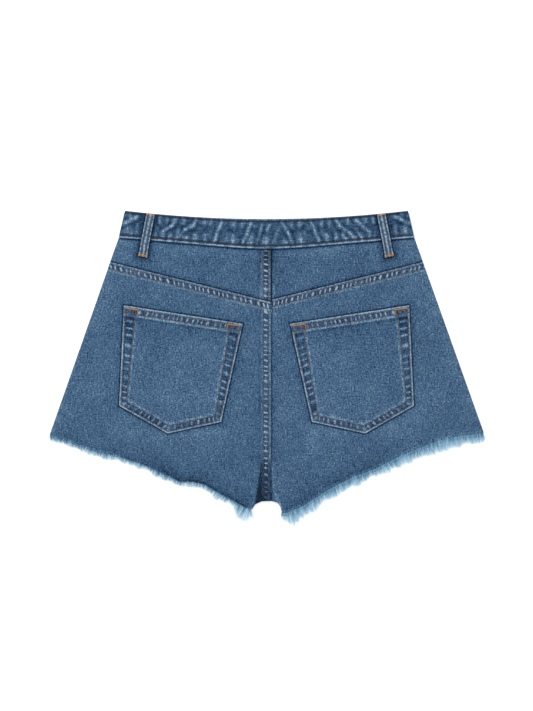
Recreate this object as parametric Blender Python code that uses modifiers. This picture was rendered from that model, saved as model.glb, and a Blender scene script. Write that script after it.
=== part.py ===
"""Denim shorts with cut, frayed hems, laid flat on their front with the back up.

Metres, +Z up, +Y towards the waist and +X towards the wearer's right. The origin is under the middle of
the shorts, on the surface they lie on. Left and right are the wearer's.

Cloth is placed by its plan position: x across from the centre seam, and v, the drop below the line
between the two waist corners. On one half of the shorts, a is the distance out from the centre seam
towards that half's own side. Each piece is an open sheet of its outer face, thickened inwards.
"""

import bmesh
import bpy
import numpy as np

COLLECTION = "denim_shorts"
CUTTERS = "cutters"

# Outline of the laid shorts
LENGTH = 0.4066  # waist corners to the longest thread
WAIST_HALF = 0.184
BAND_DROP = 0.03575  # waistband's lower edge at the sides
BAND_LOW_HALF = 0.1924
HEM_HALF = 0.282
HEM_DROP = 0.2925
SEAM_DROP = 0.117  # yoke seam at the centre
SEAM_SLOPE = 0.2494  # its rise towards the side

# How far the waistband's edges sag at the centre: (upper edge, lower edge, bow added to the lower edge)
BACK_SAG = (0.0108, 0.01145, 0.0042)
FRONT_SAG = (0.0220, 0.0225, 0.0)
BOW_HALF = 0.075
BOW_RISE = 0.285  # share of the bow by which the edge rises beside it

# Walls and levels above the surface
CLOTH = 0.0012
BAND_WALL = 0.0018
LOOP_WALL = 0.0016
SHIELD_WALL = 0.0010
GAP = 0.0003
BACK_LEVEL = 0.0058  # outer face of the back
FOLD_LEVEL = 0.0026  # lower end of the back where it turns down at the sides
FOLD_GAP = 0.0006
BACK_FOLD = 0.0040  # how far in from a folded edge the back starts to turn
FRONT_FOLD = 0.0022
SEAM_WAVE = (0.0002, 0.045)  # height and length of the side seams' unevenness
BAND_STEP = 0.0012  # waistband above yoke
BAND_BEND = 0.0034
FELL_RISE = 0.0009  # doubled cloth of a felled seam above its panel
FELL_WIDTH = 0.0126
FELL_END = 0.0012
CENTRE_FELL_LEFT = 0.0060
CENTRE_LAP = 0.0066  # the left half laps this far over the centre
WAVE_HEIGHT = 0.00022
WAVE_LENGTHS = (0.150, 0.190)

# Waist button, at the middle of the front of the band
BUTTON_DROP = 0.040
BUTTON_RADIUS = 0.0085
BUTTON_HEAD = 0.0015
BUTTON_ROUND = 0.0005
BUTTON_STEPS = 24
SHANK_RADIUS = 0.0024
SHANK_TOP = 0.0060
TACK_RADIUS = 0.0060
TACK_TOP = 0.0066
BUTTONHOLE_RADIUS = 0.0030
BUTTONHOLE_SPAN = (0.0010, 0.0059)
BUTTONHOLE_SIDES = 16
BUTTON_LIFT = 0.00185  # front cloth over the button's head
BUTTON_LIFT_REACH = (0.0095, 0.022)
BUTTON_BUMP = 0.0024  # back cloth over the button and the lapped ends
BUTTON_BUMP_REACH = (0.012, 0.040)
BAND_END = 0.018  # the band's ends lap this far over the centre
BAND_LAP = BAND_WALL + GAP
BAND_LAP_START = BAND_END + 0.001
BAND_LAP_RUN = 0.014

# Fly: the left front laps over the right, with the zip and its shield behind
FLY_EDGE = 0.008
FLY_UNDER = 0.001
FLY_LAP = CLOTH + GAP
FLY_LAP_RUN = 0.004
FLY_OUT = (0.235, 0.030)  # below the fly the right front slides out from under the left
FLY_FLAT = (0.300, 0.030)  # and then comes down beside it
SHIELD = (-0.026, 0.012, 0.061, 0.240)  # x from, x to, v from, v to
SHIELD_LEVEL = 0.0031
SHIELD_GRID = (14, 6)
TAPE = (-0.0212, 0.0007, 0.0730, 0.2350)
TAPE_THICK = 0.0006
CHAIN = (-0.0085, -0.0045, 0.0745, 0.2320)
CHAIN_THICK = 0.0011
SLIDER = (-0.0105, -0.0025, 0.0740, 0.0850)
SLIDER_THICK = 0.0013

# Belt loops: a and v of the middle of each end
LOOP_HALF = 0.0055
LOOP_EDGE = 0.0008
LOOP_ROUND = 0.0003
LOOP_SLACK = 0.0007
LOOP_OVER_PUCKERS = 0.0004
LOOP_STEP = (0.0020, 0.0095)  # where the loop comes down off the band, below the band's edge
BACK_LOOP_LEFT = ((0.1502, 0.0042), (0.1608, 0.0600))
BACK_LOOP_RIGHT = ((0.1486, 0.0042), (0.1596, 0.0600))
FRONT_LOOP = ((0.1040, 0.0190), (0.1110, 0.0750))
LOOP_LIFT = 0.00210  # front cloth over its loops
LOOP_LIFT_HALF = 0.0085
LOOP_LIFT_RUN = 0.014

# Patch pockets: corners as (a, v)
POCKET_OUTER_TOP = (0.1852, 0.1225)
POCKET_INNER_TOP = (0.0305, 0.1466)
POCKET_INNER_LOW = (0.0587, 0.2742)
POCKET_TIP = (0.1282, 0.2893)
POCKET_OUTER_LOW = (0.1914, 0.2532)
POCKET_HEM = 0.0135
POCKET_HEM_RISE = 0.0005
POCKET_GAP = 0.0004

# Waistband puckers across the back: x at the upper edge, x at the lower edge, half width, height
PUCKERS = (
    (-0.1690, -0.1800, 0.0055, 0.00040),
    (-0.1330, -0.1440, 0.0050, 0.00045),
    (-0.1130, -0.1330, 0.0060, 0.00050),
    (-0.0930, -0.1130, 0.0055, 0.00060),
    (-0.0790, -0.0890, 0.0040, 0.00035),
    (-0.0590, -0.0680, 0.0045, 0.00060),
    (-0.0430, -0.0500, 0.0050, 0.00035),
    (-0.0215, -0.0320, 0.0045, 0.00060),
    (-0.0085, -0.0190, 0.0040, 0.00045),
    (0.0050, -0.0120, 0.0045, 0.00050),
    (0.0200, 0.0310, 0.0045, 0.00060),
    (0.0370, 0.0460, 0.0050, 0.00035),
    (0.0570, 0.0670, 0.0045, 0.00060),
    (0.0740, 0.0830, 0.0045, 0.00040),
    (0.0900, 0.1130, 0.0055, 0.00060),
    (0.1090, 0.1290, 0.0060, 0.00050),
    (0.1290, 0.1400, 0.0050, 0.00045),
    (0.1660, 0.1760, 0.0055, 0.00040),
)

# Folds of the back: x, v, half width and height where each starts, then where it ends
FOLDS = (
    (-0.0058, 0.326, 0.0016, 0.0000, -0.0098, 0.381, 0.0040, -0.0010),  # recess left of the crotch
    (-0.0130, 0.318, 0.0040, 0.0000, -0.0200, 0.384, 0.0050, 0.0004),  # roll beside the recess
    (0.0100, 0.312, 0.0030, 0.0000, 0.0160, 0.381, 0.0045, 0.0005),  # roll right of the crotch
    (-0.0300, 0.345, 0.0120, 0.0003, -0.1300, 0.322, 0.0160, 0.0000),
    (0.0300, 0.345, 0.0120, 0.0003, 0.1300, 0.318, 0.0160, 0.0000),
)

# Cut edges of the legs from the crotch to the side: a, v. Up to LEG_CORNER they are folded seams.
BACK_HEM_LEFT = (
    (-0.0066, 0.3770),
    (0.0045, 0.3772),
    (0.0062, 0.3775),
    (0.0088, 0.3787),
    (0.0118, 0.3800),
    (0.0150, 0.3818),
    (0.0190, 0.3885),
    (0.0235, 0.3880),
    (0.0377, 0.3796),
    (0.0616, 0.3667),
    (0.0796, 0.3558),
    (0.0956, 0.3518),
    (0.1114, 0.3518),
    (0.1373, 0.3400),
    (0.1611, 0.3289),
    (0.1950, 0.3180),
    (0.2209, 0.3130),
    (0.2547, 0.3000),
    (HEM_HALF, 0.2932),
)
BACK_HEM_RIGHT = (
    (0.0069, 0.3772),
    (0.0105, 0.3778),
    (0.0150, 0.3795),
    (0.0180, 0.3850),
    (0.0202, 0.3925),
    (0.0250, 0.3928),
    (0.0460, 0.3839),
    (0.0623, 0.3736),
    (0.0805, 0.3614),
    (0.0988, 0.3523),
    (0.1171, 0.3432),
    (0.1435, 0.3341),
    (0.1678, 0.3208),
    (0.1983, 0.3077),
    (0.2248, 0.2974),
    (0.2490, 0.2925),
    (HEM_HALF, 0.2883),
)
FRONT_HEM_LEFT = (
    (-FLY_EDGE, 0.3770),
    (0.0060, 0.3775),
    (0.0118, 0.3800),
    (0.0150, 0.3818),
    (0.0190, 0.3870),
    (0.0240, 0.3850),
    (0.0377, 0.3765),
    (0.0616, 0.3637),
    (0.0956, 0.3490),
    (0.1373, 0.3375),
    (0.1611, 0.3260),
    (0.1950, 0.3150),
    (0.2209, 0.3095),
    (0.2547, 0.2975),
    (HEM_HALF, 0.2912),
)
FRONT_HEM_RIGHT = (
    (FLY_EDGE + GAP, 0.3772),
    (FLY_EDGE + GAP + FLY_LAP_RUN / 2.0, 0.3777),
    (0.0126, 0.3785),
    (0.0150, 0.3795),
    (0.0180, 0.3850),
    (0.0202, 0.3895),
    (0.0250, 0.3895),
    (0.0460, 0.3809),
    (0.0623, 0.3706),
    (0.0988, 0.3493),
    (0.1435, 0.3311),
    (0.1678, 0.3178),
    (0.1983, 0.3047),
    (0.2248, 0.2949),
    (HEM_HALF, 0.2868),
)
LEG_CORNER = 0.0205

# Fraying: a, length of the threads
FRAY_LEFT = (
    (0.020, 0.0110),
    (0.025, 0.0178),
    (0.033, 0.0105),
    (0.050, 0.0080),
    (0.080, 0.0058),
    (0.111, 0.0048),
    (0.195, 0.0062),
    (0.221, 0.0046),
    (0.255, 0.0062),
    (0.281, 0.0052),
)
FRAY_RIGHT = (
    (0.021, 0.0090),
    (0.034, 0.0205),
    (0.046, 0.0145),
    (0.081, 0.0122),
    (0.117, 0.0118),
    (0.144, 0.0105),
    (0.168, 0.0136),
    (0.198, 0.0138),
    (0.225, 0.0158),
    (0.249, 0.0132),
    (0.270, 0.0120),
    (0.281, 0.0098),
)
STRIP_WIDTH = 0.0020
STRIP_WALL = 0.0008
STRIP_ENDS = (0.0222, HEM_HALF - 0.0006)
LOCK_SHARE = 0.45  # of each lock's place along the strip
LOCK_SHIFTS = (0.3, 0.7)  # least and most share of the free room before a lock
LOCK_LENGTHS = (0.78, 1.04)  # least and most share of the threads' length
LOCK_LEAN = 0.10
LOCK_SINK = 1.5  # power by which a lock sinks along its length
LOCK_RINGS = ((0.55, 0.66), (1.0, 0.38))  # share of the length, scale from the ring before
BACK_LOCKS = 50
FRONT_LOCKS = 34
BACK_TIP_LEVEL = 0.0021
FRONT_TIP_LEVEL = 0.0004
THREAD_TURN = 0.55  # how far the threads turn from straight down to square to the hem
SLOPE_SPAN = 7  # points over which the hem's slope is evened out
END_FACE_TILT = 0.7
SEED = 11

# Grids
FOLD_ANGLES = np.radians((0.0, 30.0, 60.0, 90.0))
TUCK = 0.22  # share of a fold's height in its upright end
PANEL_SHARES = (0.09, 0.20, 0.32, 0.45, 0.58, 0.70, 0.80, 0.88, 0.95)
FRONT_STEPS = (0.0, 0.007, 0.014, 0.021, 0.029, 0.038, 0.048)
FRONT_SHARES = (0.11, 0.22, 0.33, 0.44, 0.55, 0.66, 0.77, 0.88)
YOKE_SHARES = (0.05, 0.11, 0.18, 0.26, 0.35, 0.45, 0.57, 0.70, 0.84)
YOKE_START = 0.008
YOKE_ROWS = 6
BACK_WIDEST = 0.040
FRONT_WIDEST = 0.014
BAND_ROWS = (0.0, 0.14, 0.38, 0.62, 0.86, 1.0)
BAND_BACK_COLUMNS = 66
BAND_TURN_COLUMNS = 9
BAND_FRONT_NEAR = np.arange(-BAND_END, 0.048, 0.0055)
BAND_FRONT_AWAY = (0.056, 0.070, 0.082, 0.090, 0.098, 0.107, 0.116, 0.124, 0.134, 0.156)
LOOP_ROWS = 11
POCKET_HALF_COLUMNS = 6
POCKET_SHARES = (0.12, 0.24, 0.36, 0.48, 0.60, 0.72, 0.84, 0.93)

# Colours: base colour, roughness, metallic
DENIM = ((0.065, 0.133, 0.227), 0.88, 0.0)
BAND_DENIM = ((0.060, 0.112, 0.185), 0.88, 0.0)
FRAY = ((0.45, 0.62, 0.73), 0.92, 0.0)
TAPE_COTTON = ((0.05, 0.07, 0.11), 0.9, 0.0)
BRASS = ((0.50, 0.34, 0.17), 0.38, 1.0)


def smooth(t):
    """0 up to 0, 1 from 1 on, and an even S between them."""
    t = np.clip(t, 0.0, 1.0)
    return t * t * (3.0 - 2.0 * t)


def band_edge(x, sag, lower):
    """Drop of one edge of the waistband: a parabola through both side corners, the lower edge with a bow."""
    drop, half = (BAND_DROP, BAND_LOW_HALF) if lower else (0.0, WAIST_HALF)
    bow = lower * sag[2] * (np.exp(-((x / BOW_HALF) ** 2)) - BOW_RISE * (1.0 - (x / half) ** 8))
    return drop + sag[lower] * (1.0 - (x / half) ** 2) + bow


def yoke_seam(a):
    """Drop of the yoke's seam, a straight line on each half."""
    return SEAM_DROP - SEAM_SLOPE * a


def seam_side():
    """Where the yoke's seam meets the side line."""
    slope = (HEM_HALF - BAND_LOW_HALF) / (HEM_DROP - BAND_DROP)
    return (BAND_LOW_HALF + slope * (SEAM_DROP - BAND_DROP)) / (1.0 + slope * SEAM_SLOPE)


def folds(x, v):
    """Sum of the folds: each is a bell across the line between its ends."""
    height = 0.0
    for x0, v0, width0, height0, x1, v1, width1, height1 in FOLDS:
        length_squared = (x1 - x0) ** 2 + (v1 - v0) ** 2
        along = np.clip(((x - x0) * (x1 - x0) + (v - v0) * (v1 - v0)) / length_squared, 0.0, 1.0)
        away = np.hypot(x - x0 - along * (x1 - x0), v - v0 - along * (v1 - v0))
        width = width0 + along * (width1 - width0)
        height = height + (height0 + along * (height1 - height0)) * np.exp(-((away / width) ** 2))
    return height


def back_level(x, v):
    """Outer face of the back: level, a slow wave, the bump over the button, and the folds."""
    from_button = np.hypot(x, v - BUTTON_DROP)
    bump = BUTTON_BUMP * (1.0 - smooth((from_button - BUTTON_BUMP_REACH[0]) / BUTTON_BUMP_REACH[1]))
    wave = np.sin(2.0 * np.pi * x / WAVE_LENGTHS[0]) * np.cos(2.0 * np.pi * v / WAVE_LENGTHS[1])
    return BACK_LEVEL + WAVE_HEIGHT * wave + bump + folds(x, v)


def front_level(x, v):
    """Outer face of the front: on the surface, but lifted over the button and the two belt loops."""
    from_button = np.hypot(x, v - BUTTON_DROP)
    over_button = BUTTON_LIFT * (1.0 - smooth((from_button - BUTTON_LIFT_REACH[0]) / BUTTON_LIFT_REACH[1]))
    (a0, v0), (a1, v1) = FRONT_LOOP
    along = np.clip((v - v0) / (v1 - v0), 0.0, 1.0)
    from_loop = np.hypot(np.abs(x) - a0 - along * (a1 - a0), v - v0 - along * (v1 - v0))
    over_loop = LOOP_LIFT * (1.0 - smooth((from_loop - LOOP_LIFT_HALF) / LOOP_LIFT_RUN))
    return np.maximum(over_button, over_loop)


def puckers(x, share):
    """Slanted ripples of the waistband, none at its stitched edges. share runs from its upper edge down."""
    height = 0.0
    for x_upper, x_lower, half_width, rise in PUCKERS:
        away = (x - x_upper - share * (x_lower - x_upper)) / half_width
        height = height + rise * np.exp(-(away**2))
    return height * np.sin(np.pi * share)


def placed(x, v, z):
    """Points of a grid, rows from the waist down, from plan positions and levels."""
    return np.stack(np.broadcast_arrays(x, LENGTH / 2.0 - v, z), axis=-1)


def material(name, finish):
    colour, roughness, metallic = finish
    made = bpy.data.materials.new(name)
    made.use_nodes = True
    shader = made.node_tree.nodes["Principled BSDF"]
    shader.inputs["Base Color"].default_value = (*colour, 1.0)
    shader.inputs["Roughness"].default_value = roughness
    shader.inputs["Metallic"].default_value = metallic
    made.diffuse_color = (*colour, 1.0)
    return made


def add_object(name, mesh, finish):
    made = bpy.data.objects.new(name, mesh)
    mesh.materials.append(material(name, finish))
    bpy.data.collections[COLLECTION].objects.link(made)
    return made


def grid(points):
    """A bmesh grid through points[row, column], with +Z faces where x grows with the column."""
    rows, columns = points.shape[:2]
    made = bmesh.new()
    bmesh.ops.create_grid(made, x_segments=columns - 1, y_segments=rows - 1, size=1.0)
    for vertex in made.verts:
        column = round((vertex.co.x + 1.0) / 2.0 * (columns - 1))
        row = round((1.0 - vertex.co.y) / 2.0 * (rows - 1))
        vertex.co = points[row, column]
    return made


def cloth(name, points, wall, finish):
    """A sheet whose outer face runs through points, thickened inwards by wall."""
    built = grid(points)
    mesh = bpy.data.meshes.new(name)
    built.to_mesh(mesh)
    built.free()
    mesh.shade_smooth()
    made = add_object(name, mesh, finish)
    thickness = made.modifiers.new("Wall", "SOLIDIFY")
    thickness.thickness = wall
    thickness.offset = -1.0
    return made


def fold_inset(angle, fold):
    return fold * (1.0 - np.cos(angle))


def fold_rise(inset, fold):
    """Share of the full height at a distance in from a folded edge: a quarter round."""
    return np.sqrt(np.clip(1.0 - (1.0 - np.minimum(inset / fold, 1.0)) ** 2, 0.0, 1.0))


def side_columns(fold):
    """(inset, rise) of the columns that turn down over the side, the outermost first and upright."""
    insets = fold_inset(FOLD_ANGLES, fold)
    rises = fold_rise(insets, fold)
    return [(0.0, 0.0), (0.0, TUCK), *zip(insets[1:], rises[1:])]


def low_rows(fold):
    """(distance up from a plain edge, from a folded edge, rise there) of the last rows of a leg."""
    insets = fold_inset(FOLD_ANGLES, fold)[::-1]
    rises = fold_rise(insets, fold)
    folded = [*zip(insets[:-1], rises[:-1]), (0.0, TUCK), (0.0, 0.0)]
    plain = np.linspace(fold, 0.0, len(folded))
    return [(up, inset, rise) for up, (inset, rise) in zip(plain, folded)]


def densified(points, widest):
    """The points of an edge, with even ones added on its straight runs where they lie over widest apart."""
    a, v = np.array(points).T
    parts = [np.linspace(p, q, int(np.ceil((q - p) / widest)) + 1)[:-1] for p, q in zip(a[:-1], a[1:])]
    dense = np.concatenate([*parts, a[-1:]])
    return np.stack([dense, np.interp(dense, a, v)], axis=-1)


def half_panel(sign, upper, hem, upper_side, upper_steps, shares, widest, fold):
    """(x, v, a, distance from the upper edge, rise) of one half's leg panel.

    Columns run straight from the upper edge to the points of the hem, and the last ones turn down over
    the side within fold of it. Rows are upper_steps from the upper edge, then shares of the rest, then
    the low rows.
    """
    hem = densified(hem, widest)
    insets, rises = np.array(side_columns(fold)).T
    inner = hem[hem[:, 0] < HEM_HALF - 2.0 * fold]
    low_a = np.concatenate([inner[:, 0], (HEM_HALF - insets)[::-1]])
    spread = (inner[:, 0] - LEG_CORNER) / (HEM_HALF - fold - LEG_CORNER)
    spread_top = LEG_CORNER + spread * (upper_side - fold - LEG_CORNER)
    inner_top = np.where(spread < 0.0, inner[:, 0], spread_top)
    top_a = np.concatenate([inner_top, (upper_side - insets)[::-1]])
    column_rise = np.concatenate([np.ones(len(inner)), rises[::-1]])
    folded = (low_a < LEG_CORNER).astype(float)
    top_v = upper(top_a)
    low_v = np.interp(low_a, hem[:, 0], hem[:, 1])
    length = np.hypot(low_a - top_a, low_v - top_v)
    plain_up, folded_up, low_rise = (np.array(c)[:, None] for c in zip(*low_rows(fold)))
    low_up = plain_up + folded * (folded_up - plain_up)
    steps = np.array(upper_steps)[:, None] + 0.0 * length
    middle = length - steps[-1] - low_up[0]
    down = np.concatenate([steps, steps[-1] + np.array(shares)[:, None] * middle, length - low_up])
    rise = np.ones_like(down)
    rise[-len(low_up) :] = 1.0 + folded * (low_rise - 1.0)
    rise = rise * column_rise
    a = top_a + (low_a - top_a) * down / length
    v = top_v + (low_v - top_v) * down / length
    if sign < 0:
        a, v, down, rise = (values[:, ::-1] for values in (a, v, down, rise))
    return sign * a, v, a, down, rise


def turned(level, rise, end, v):
    """Levels of a sheet that turns at its folded edges to the level end, a little uneven along the seam."""
    seam = end + SEAM_WAVE[0] * np.sin(2.0 * np.pi * v / SEAM_WAVE[1])
    return seam + (level - seam) * rise


def centre_fell(a, sign):
    """Rise of the felled centre seam, which lies on the left half."""
    return FELL_RISE * smooth((CENTRE_FELL_LEFT + FELL_END - a) / FELL_END) * (sign < 0)


def back_hem(sign):
    return BACK_HEM_LEFT if sign < 0 else BACK_HEM_RIGHT


def front_hem(sign):
    return FRONT_HEM_LEFT if sign < 0 else FRONT_HEM_RIGHT


def back_panel(name, sign):
    """A back leg panel, doubled along its upper edge, and along the centre seam on the left one."""
    steps = (0.0, FELL_WIDTH, FELL_WIDTH + FELL_END)
    x, v, a, down, rise = half_panel(
        sign, yoke_seam, back_hem(sign), seam_side(), steps, PANEL_SHARES, BACK_WIDEST, BACK_FOLD
    )
    seam_fell = FELL_RISE * (1.0 - smooth((down - FELL_WIDTH) / FELL_END))
    level = back_level(x, v) + np.maximum(seam_fell, centre_fell(a, sign))
    cloth(name, placed(x, v, turned(level, rise, FOLD_LEVEL, v)), CLOTH, DENIM)


def yoke(name, sign):
    """A yoke between the waistband and the leg panel's upper edge."""
    insets, rises = np.array(side_columns(BACK_FOLD)).T
    fell = [-CENTRE_LAP, CENTRE_FELL_LEFT, CENTRE_FELL_LEFT + FELL_END]
    inner = fell if sign < 0 else [CENTRE_LAP + GAP]

    def across(side):
        shares = np.array(YOKE_SHARES) * (side - BACK_FOLD) + YOKE_START
        return np.concatenate([inner, shares, (side - insets)[::-1]])

    top_a = across(BAND_LOW_HALF)
    low_a = across(seam_side())
    column_rise = np.concatenate([np.ones(len(inner) + len(YOKE_SHARES)), rises[::-1]])
    top_v = band_edge(top_a, BACK_SAG, 1) + GAP
    low_v = yoke_seam(low_a) - GAP
    rows = np.linspace(0.0, 1.0, YOKE_ROWS)[:, None]
    a = top_a + rows * (low_a - top_a)
    v = top_v + rows * (low_v - top_v)
    rise = column_rise + 0.0 * rows
    if sign < 0:
        a, v, rise = (values[:, ::-1] for values in (a, v, rise))
    level = back_level(sign * a, v) + centre_fell(a, sign)
    cloth(name, placed(sign * a, v, turned(level, rise, FOLD_LEVEL, v)), CLOTH, DENIM)


def front_panel(name, sign):
    """A front leg panel. The left one laps over the right down the fly; lower down they lie edge to edge."""

    def upper(a):
        return band_edge(a, FRONT_SAG, 1) + GAP

    x, v, a, _, rise = half_panel(
        sign, upper, front_hem(sign), BAND_LOW_HALF, FRONT_STEPS, FRONT_SHARES, FRONT_WIDEST, FRONT_FOLD
    )
    level = front_level(x, v)
    if sign > 0:
        beside = FLY_EDGE + GAP
        a[:, 0] = FLY_UNDER + (beside - FLY_UNDER) * smooth((v[:, 0] - FLY_OUT[0]) / FLY_OUT[1])
        a[:, 1] = np.maximum(beside, a[:, 0] + FLY_LAP_RUN / 2.0)
        under = 1.0 - smooth((a - a[:, 1:2]) / FLY_LAP_RUN)
        level = front_level(a, v) + FLY_LAP * under * (1.0 - smooth((v - FLY_FLAT[0]) / FLY_FLAT[1]))
    points = placed(sign * a, v, turned(level, rise, FOLD_LEVEL - FOLD_GAP, v))
    cloth(name, points[:, ::-1], CLOTH, DENIM)


def pocket(name, sign):
    """A patch pocket on the back panel's own points, moved out. Its mouth has a hem of doubled cloth."""
    tip_share = (POCKET_OUTER_LOW[0] - POCKET_TIP[0]) / (POCKET_OUTER_LOW[0] - POCKET_INNER_LOW[0])
    outer = np.linspace(0.0, tip_share, POCKET_HALF_COLUMNS)
    inner = np.linspace(tip_share, 1.0, POCKET_HALF_COLUMNS)
    across = np.concatenate([outer, inner[1:]])
    corners = np.array([POCKET_OUTER_LOW, POCKET_TIP, POCKET_INNER_LOW])
    low_a = np.interp(across, (0.0, tip_share, 1.0), corners[:, 0])
    low_v = np.interp(across, (0.0, tip_share, 1.0), corners[:, 1])
    top_a = np.interp(across, (0.0, 1.0), (POCKET_OUTER_TOP[0], POCKET_INNER_TOP[0]))
    top_v = np.interp(across, (0.0, 1.0), (POCKET_OUTER_TOP[1], POCKET_INNER_TOP[1]))
    length = np.hypot(low_a - top_a, low_v - top_v)
    hem = np.array((0.0, POCKET_HEM, POCKET_HEM + FELL_END))[:, None] + 0.0 * length
    rest = hem[-1] + np.array((*POCKET_SHARES, 1.0))[:, None] * (length - hem[-1])
    down = np.concatenate([hem, rest])
    a = top_a + (low_a - top_a) * down / length
    v = top_v + (low_v - top_v) * down / length
    hem_rise = POCKET_HEM_RISE * (1.0 - smooth((down - POCKET_HEM) / FELL_END))
    level = back_level(sign * a, v) + POCKET_GAP + CLOTH + hem_rise
    points = placed(sign * a, v, level)
    cloth(name, points[:, ::-1] if sign > 0 else points, CLOTH, DENIM)


def band_columns():
    """(a at the upper edge, angle round the side) from the over end at centre front round to the under end.

    Angle 0 is the back and half a turn is the front.
    """
    reach = WAIST_HALF - BAND_BEND
    front = np.concatenate([BAND_FRONT_NEAR, BAND_FRONT_AWAY])
    turn = np.linspace(np.pi, 0.0, BAND_TURN_COLUMNS)
    back = np.linspace(-reach, reach, BAND_BACK_COLUMNS)[1:-1]
    left_front = [(-a, np.pi) for a in front]
    left_turn = [(-reach, angle) for angle in turn]
    across = [(a, 0.0) for a in back]
    right_turn = [(reach, angle) for angle in turn[::-1]]
    right_front = [(a, np.pi) for a in front[::-1]]
    return np.array(left_front + left_turn + across + right_turn + right_front)


def waistband(name):
    """One strip folded double, round from centre front to centre front, puckered across the back.

    Its left end lies over its right end, and the waist button goes through both.
    """
    columns = band_columns()
    at_top, angle = columns[:, 0], columns[:, 1]
    share = np.array(BAND_ROWS)[:, None]
    front = (angle > np.pi / 2.0) * 1.0

    def across(half):
        bend = np.sign(at_top) * BAND_BEND * np.sin(angle)
        return at_top / (WAIST_HALF - BAND_BEND) * (half - BAND_BEND) + bend

    edges = []
    for lower, half in enumerate((WAIST_HALF, BAND_LOW_HALF)):
        x = across(half)
        edges.append((1.0 - front) * band_edge(x, BACK_SAG, lower) + front * band_edge(x, FRONT_SAG, lower))
    v = edges[0] + share * (edges[1] - edges[0])
    x = across(WAIST_HALF + share * (BAND_LOW_HALF - WAIST_HALF))
    from_front = np.arange(len(at_top)) > len(at_top) / 2.0
    under = from_front * front * (1.0 - smooth((x - BAND_LAP_START) / BAND_LAP_RUN))
    front_z = front_level(x, v) + BAND_LAP * under
    back_z = back_level(x, v) + BAND_STEP + puckers(x, share)
    z = front_z + (back_z - front_z) * (1.0 + np.cos(angle)) / 2.0
    made = cloth(name, placed(x, v, z), BAND_WALL, BAND_DENIM)
    cut = made.modifiers.new("Buttonhole", "BOOLEAN")
    cut.object = buttonhole_cutter()


def buttonhole_cutter():
    low, high = BUTTONHOLE_SPAN
    made = bpy.data.meshes.new("buttonhole_cutter")
    built = bmesh.new()
    bmesh.ops.create_cone(
        built,
        cap_ends=True,
        segments=BUTTONHOLE_SIDES,
        radius1=BUTTONHOLE_RADIUS,
        radius2=BUTTONHOLE_RADIUS,
        depth=high - low,
    )
    built.to_mesh(made)
    built.free()
    cutter = bpy.data.objects.new("buttonhole_cutter", made)
    cutter.location = (0.0, LENGTH / 2.0 - BUTTON_DROP, (low + high) / 2.0)
    cutter.hide_render = True
    cutter.display_type = "WIRE"
    bpy.data.collections[CUTTERS].objects.link(cutter)
    return cutter


def waist_button(name):
    """Button head under the band, its shank through both lapped ends, and the tack's foot inside: turned."""
    profile = (
        (0.0, TACK_TOP),
        (TACK_RADIUS, TACK_TOP),
        (TACK_RADIUS, SHANK_TOP),
        (SHANK_RADIUS, SHANK_TOP),
        (SHANK_RADIUS, BUTTON_HEAD),
        (BUTTON_RADIUS - BUTTON_ROUND, BUTTON_HEAD),
        (BUTTON_RADIUS, BUTTON_HEAD - BUTTON_ROUND),
        (BUTTON_RADIUS, BUTTON_ROUND),
        (BUTTON_RADIUS - BUTTON_ROUND, 0.0),
        (0.0, 0.0),
    )
    mesh = bpy.data.meshes.new(name)
    edges = [(start, start + 1) for start in range(len(profile) - 1)]
    mesh.from_pydata([(radius, 0.0, z) for radius, z in profile], edges, [])
    made = add_object(name, mesh, BRASS)
    made.location = (0.0, LENGTH / 2.0 - BUTTON_DROP, 0.0)
    turn = made.modifiers.new("Turn", "SCREW")
    turn.steps = turn.render_steps = BUTTON_STEPS
    turn.use_merge_vertices = True
    turn.merge_threshold = 0.00001


def belt_loop(name, sign, ends, level):
    """A strip with rounded edges along the line between its ends. level(x, v) is its outer face."""
    (a0, v0), (a1, v1) = ends
    length = np.hypot(a1 - a0, v1 - v0)
    across = np.array((-LOOP_HALF, -LOOP_HALF + LOOP_EDGE, 0.0, LOOP_HALF - LOOP_EDGE, LOOP_HALF))
    rounded = LOOP_ROUND * (np.abs(across) == LOOP_HALF)
    along = np.linspace(0.0, 1.0, LOOP_ROWS)[:, None]
    a = a0 + along * (a1 - a0) + across * (v1 - v0) / length
    v = v0 + along * (v1 - v0) - across * (a1 - a0) / length
    points = placed(sign * a, v, level(sign * a, v, along, rounded))
    cloth(name, points[:, ::-1] if sign < 0 else points, LOOP_WALL, BAND_DENIM)


def back_loop_level(x, v, along, rounded):
    """Over the waistband with a little slack, then down onto the yoke below its edge."""
    below_edge = v - band_edge(x, BACK_SAG, 1)
    on_band = 1.0 - smooth((below_edge - LOOP_STEP[0]) / LOOP_STEP[1])
    carried = back_level(x, v) + (BAND_STEP + LOOP_OVER_PUCKERS) * on_band
    return carried + GAP + LOOP_WALL + LOOP_SLACK * np.sin(np.pi * along) ** 2 - rounded


def front_loop_level(x, v, along, rounded):
    """Flat on the surface, under the lifted front."""
    return rounded + 0.0 * (x + v + along)


def front_loop(name, sign):
    """The same strip face down, so its faces are turned over before the wall is given."""
    belt_loop(name, sign, FRONT_LOOP, front_loop_level)
    bpy.data.objects[name].data.flip_normals()


def fly_shield(name):
    """A plain strip behind the zip."""
    x = np.linspace(SHIELD[1], SHIELD[0], SHIELD_GRID[1])
    v = np.linspace(SHIELD[2], SHIELD[3], SHIELD_GRID[0])[:, None]
    x, v = np.broadcast_arrays(x, v)
    cloth(name, placed(x, v, SHIELD_LEVEL + front_level(x, v)), SHIELD_WALL, DENIM)


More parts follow.
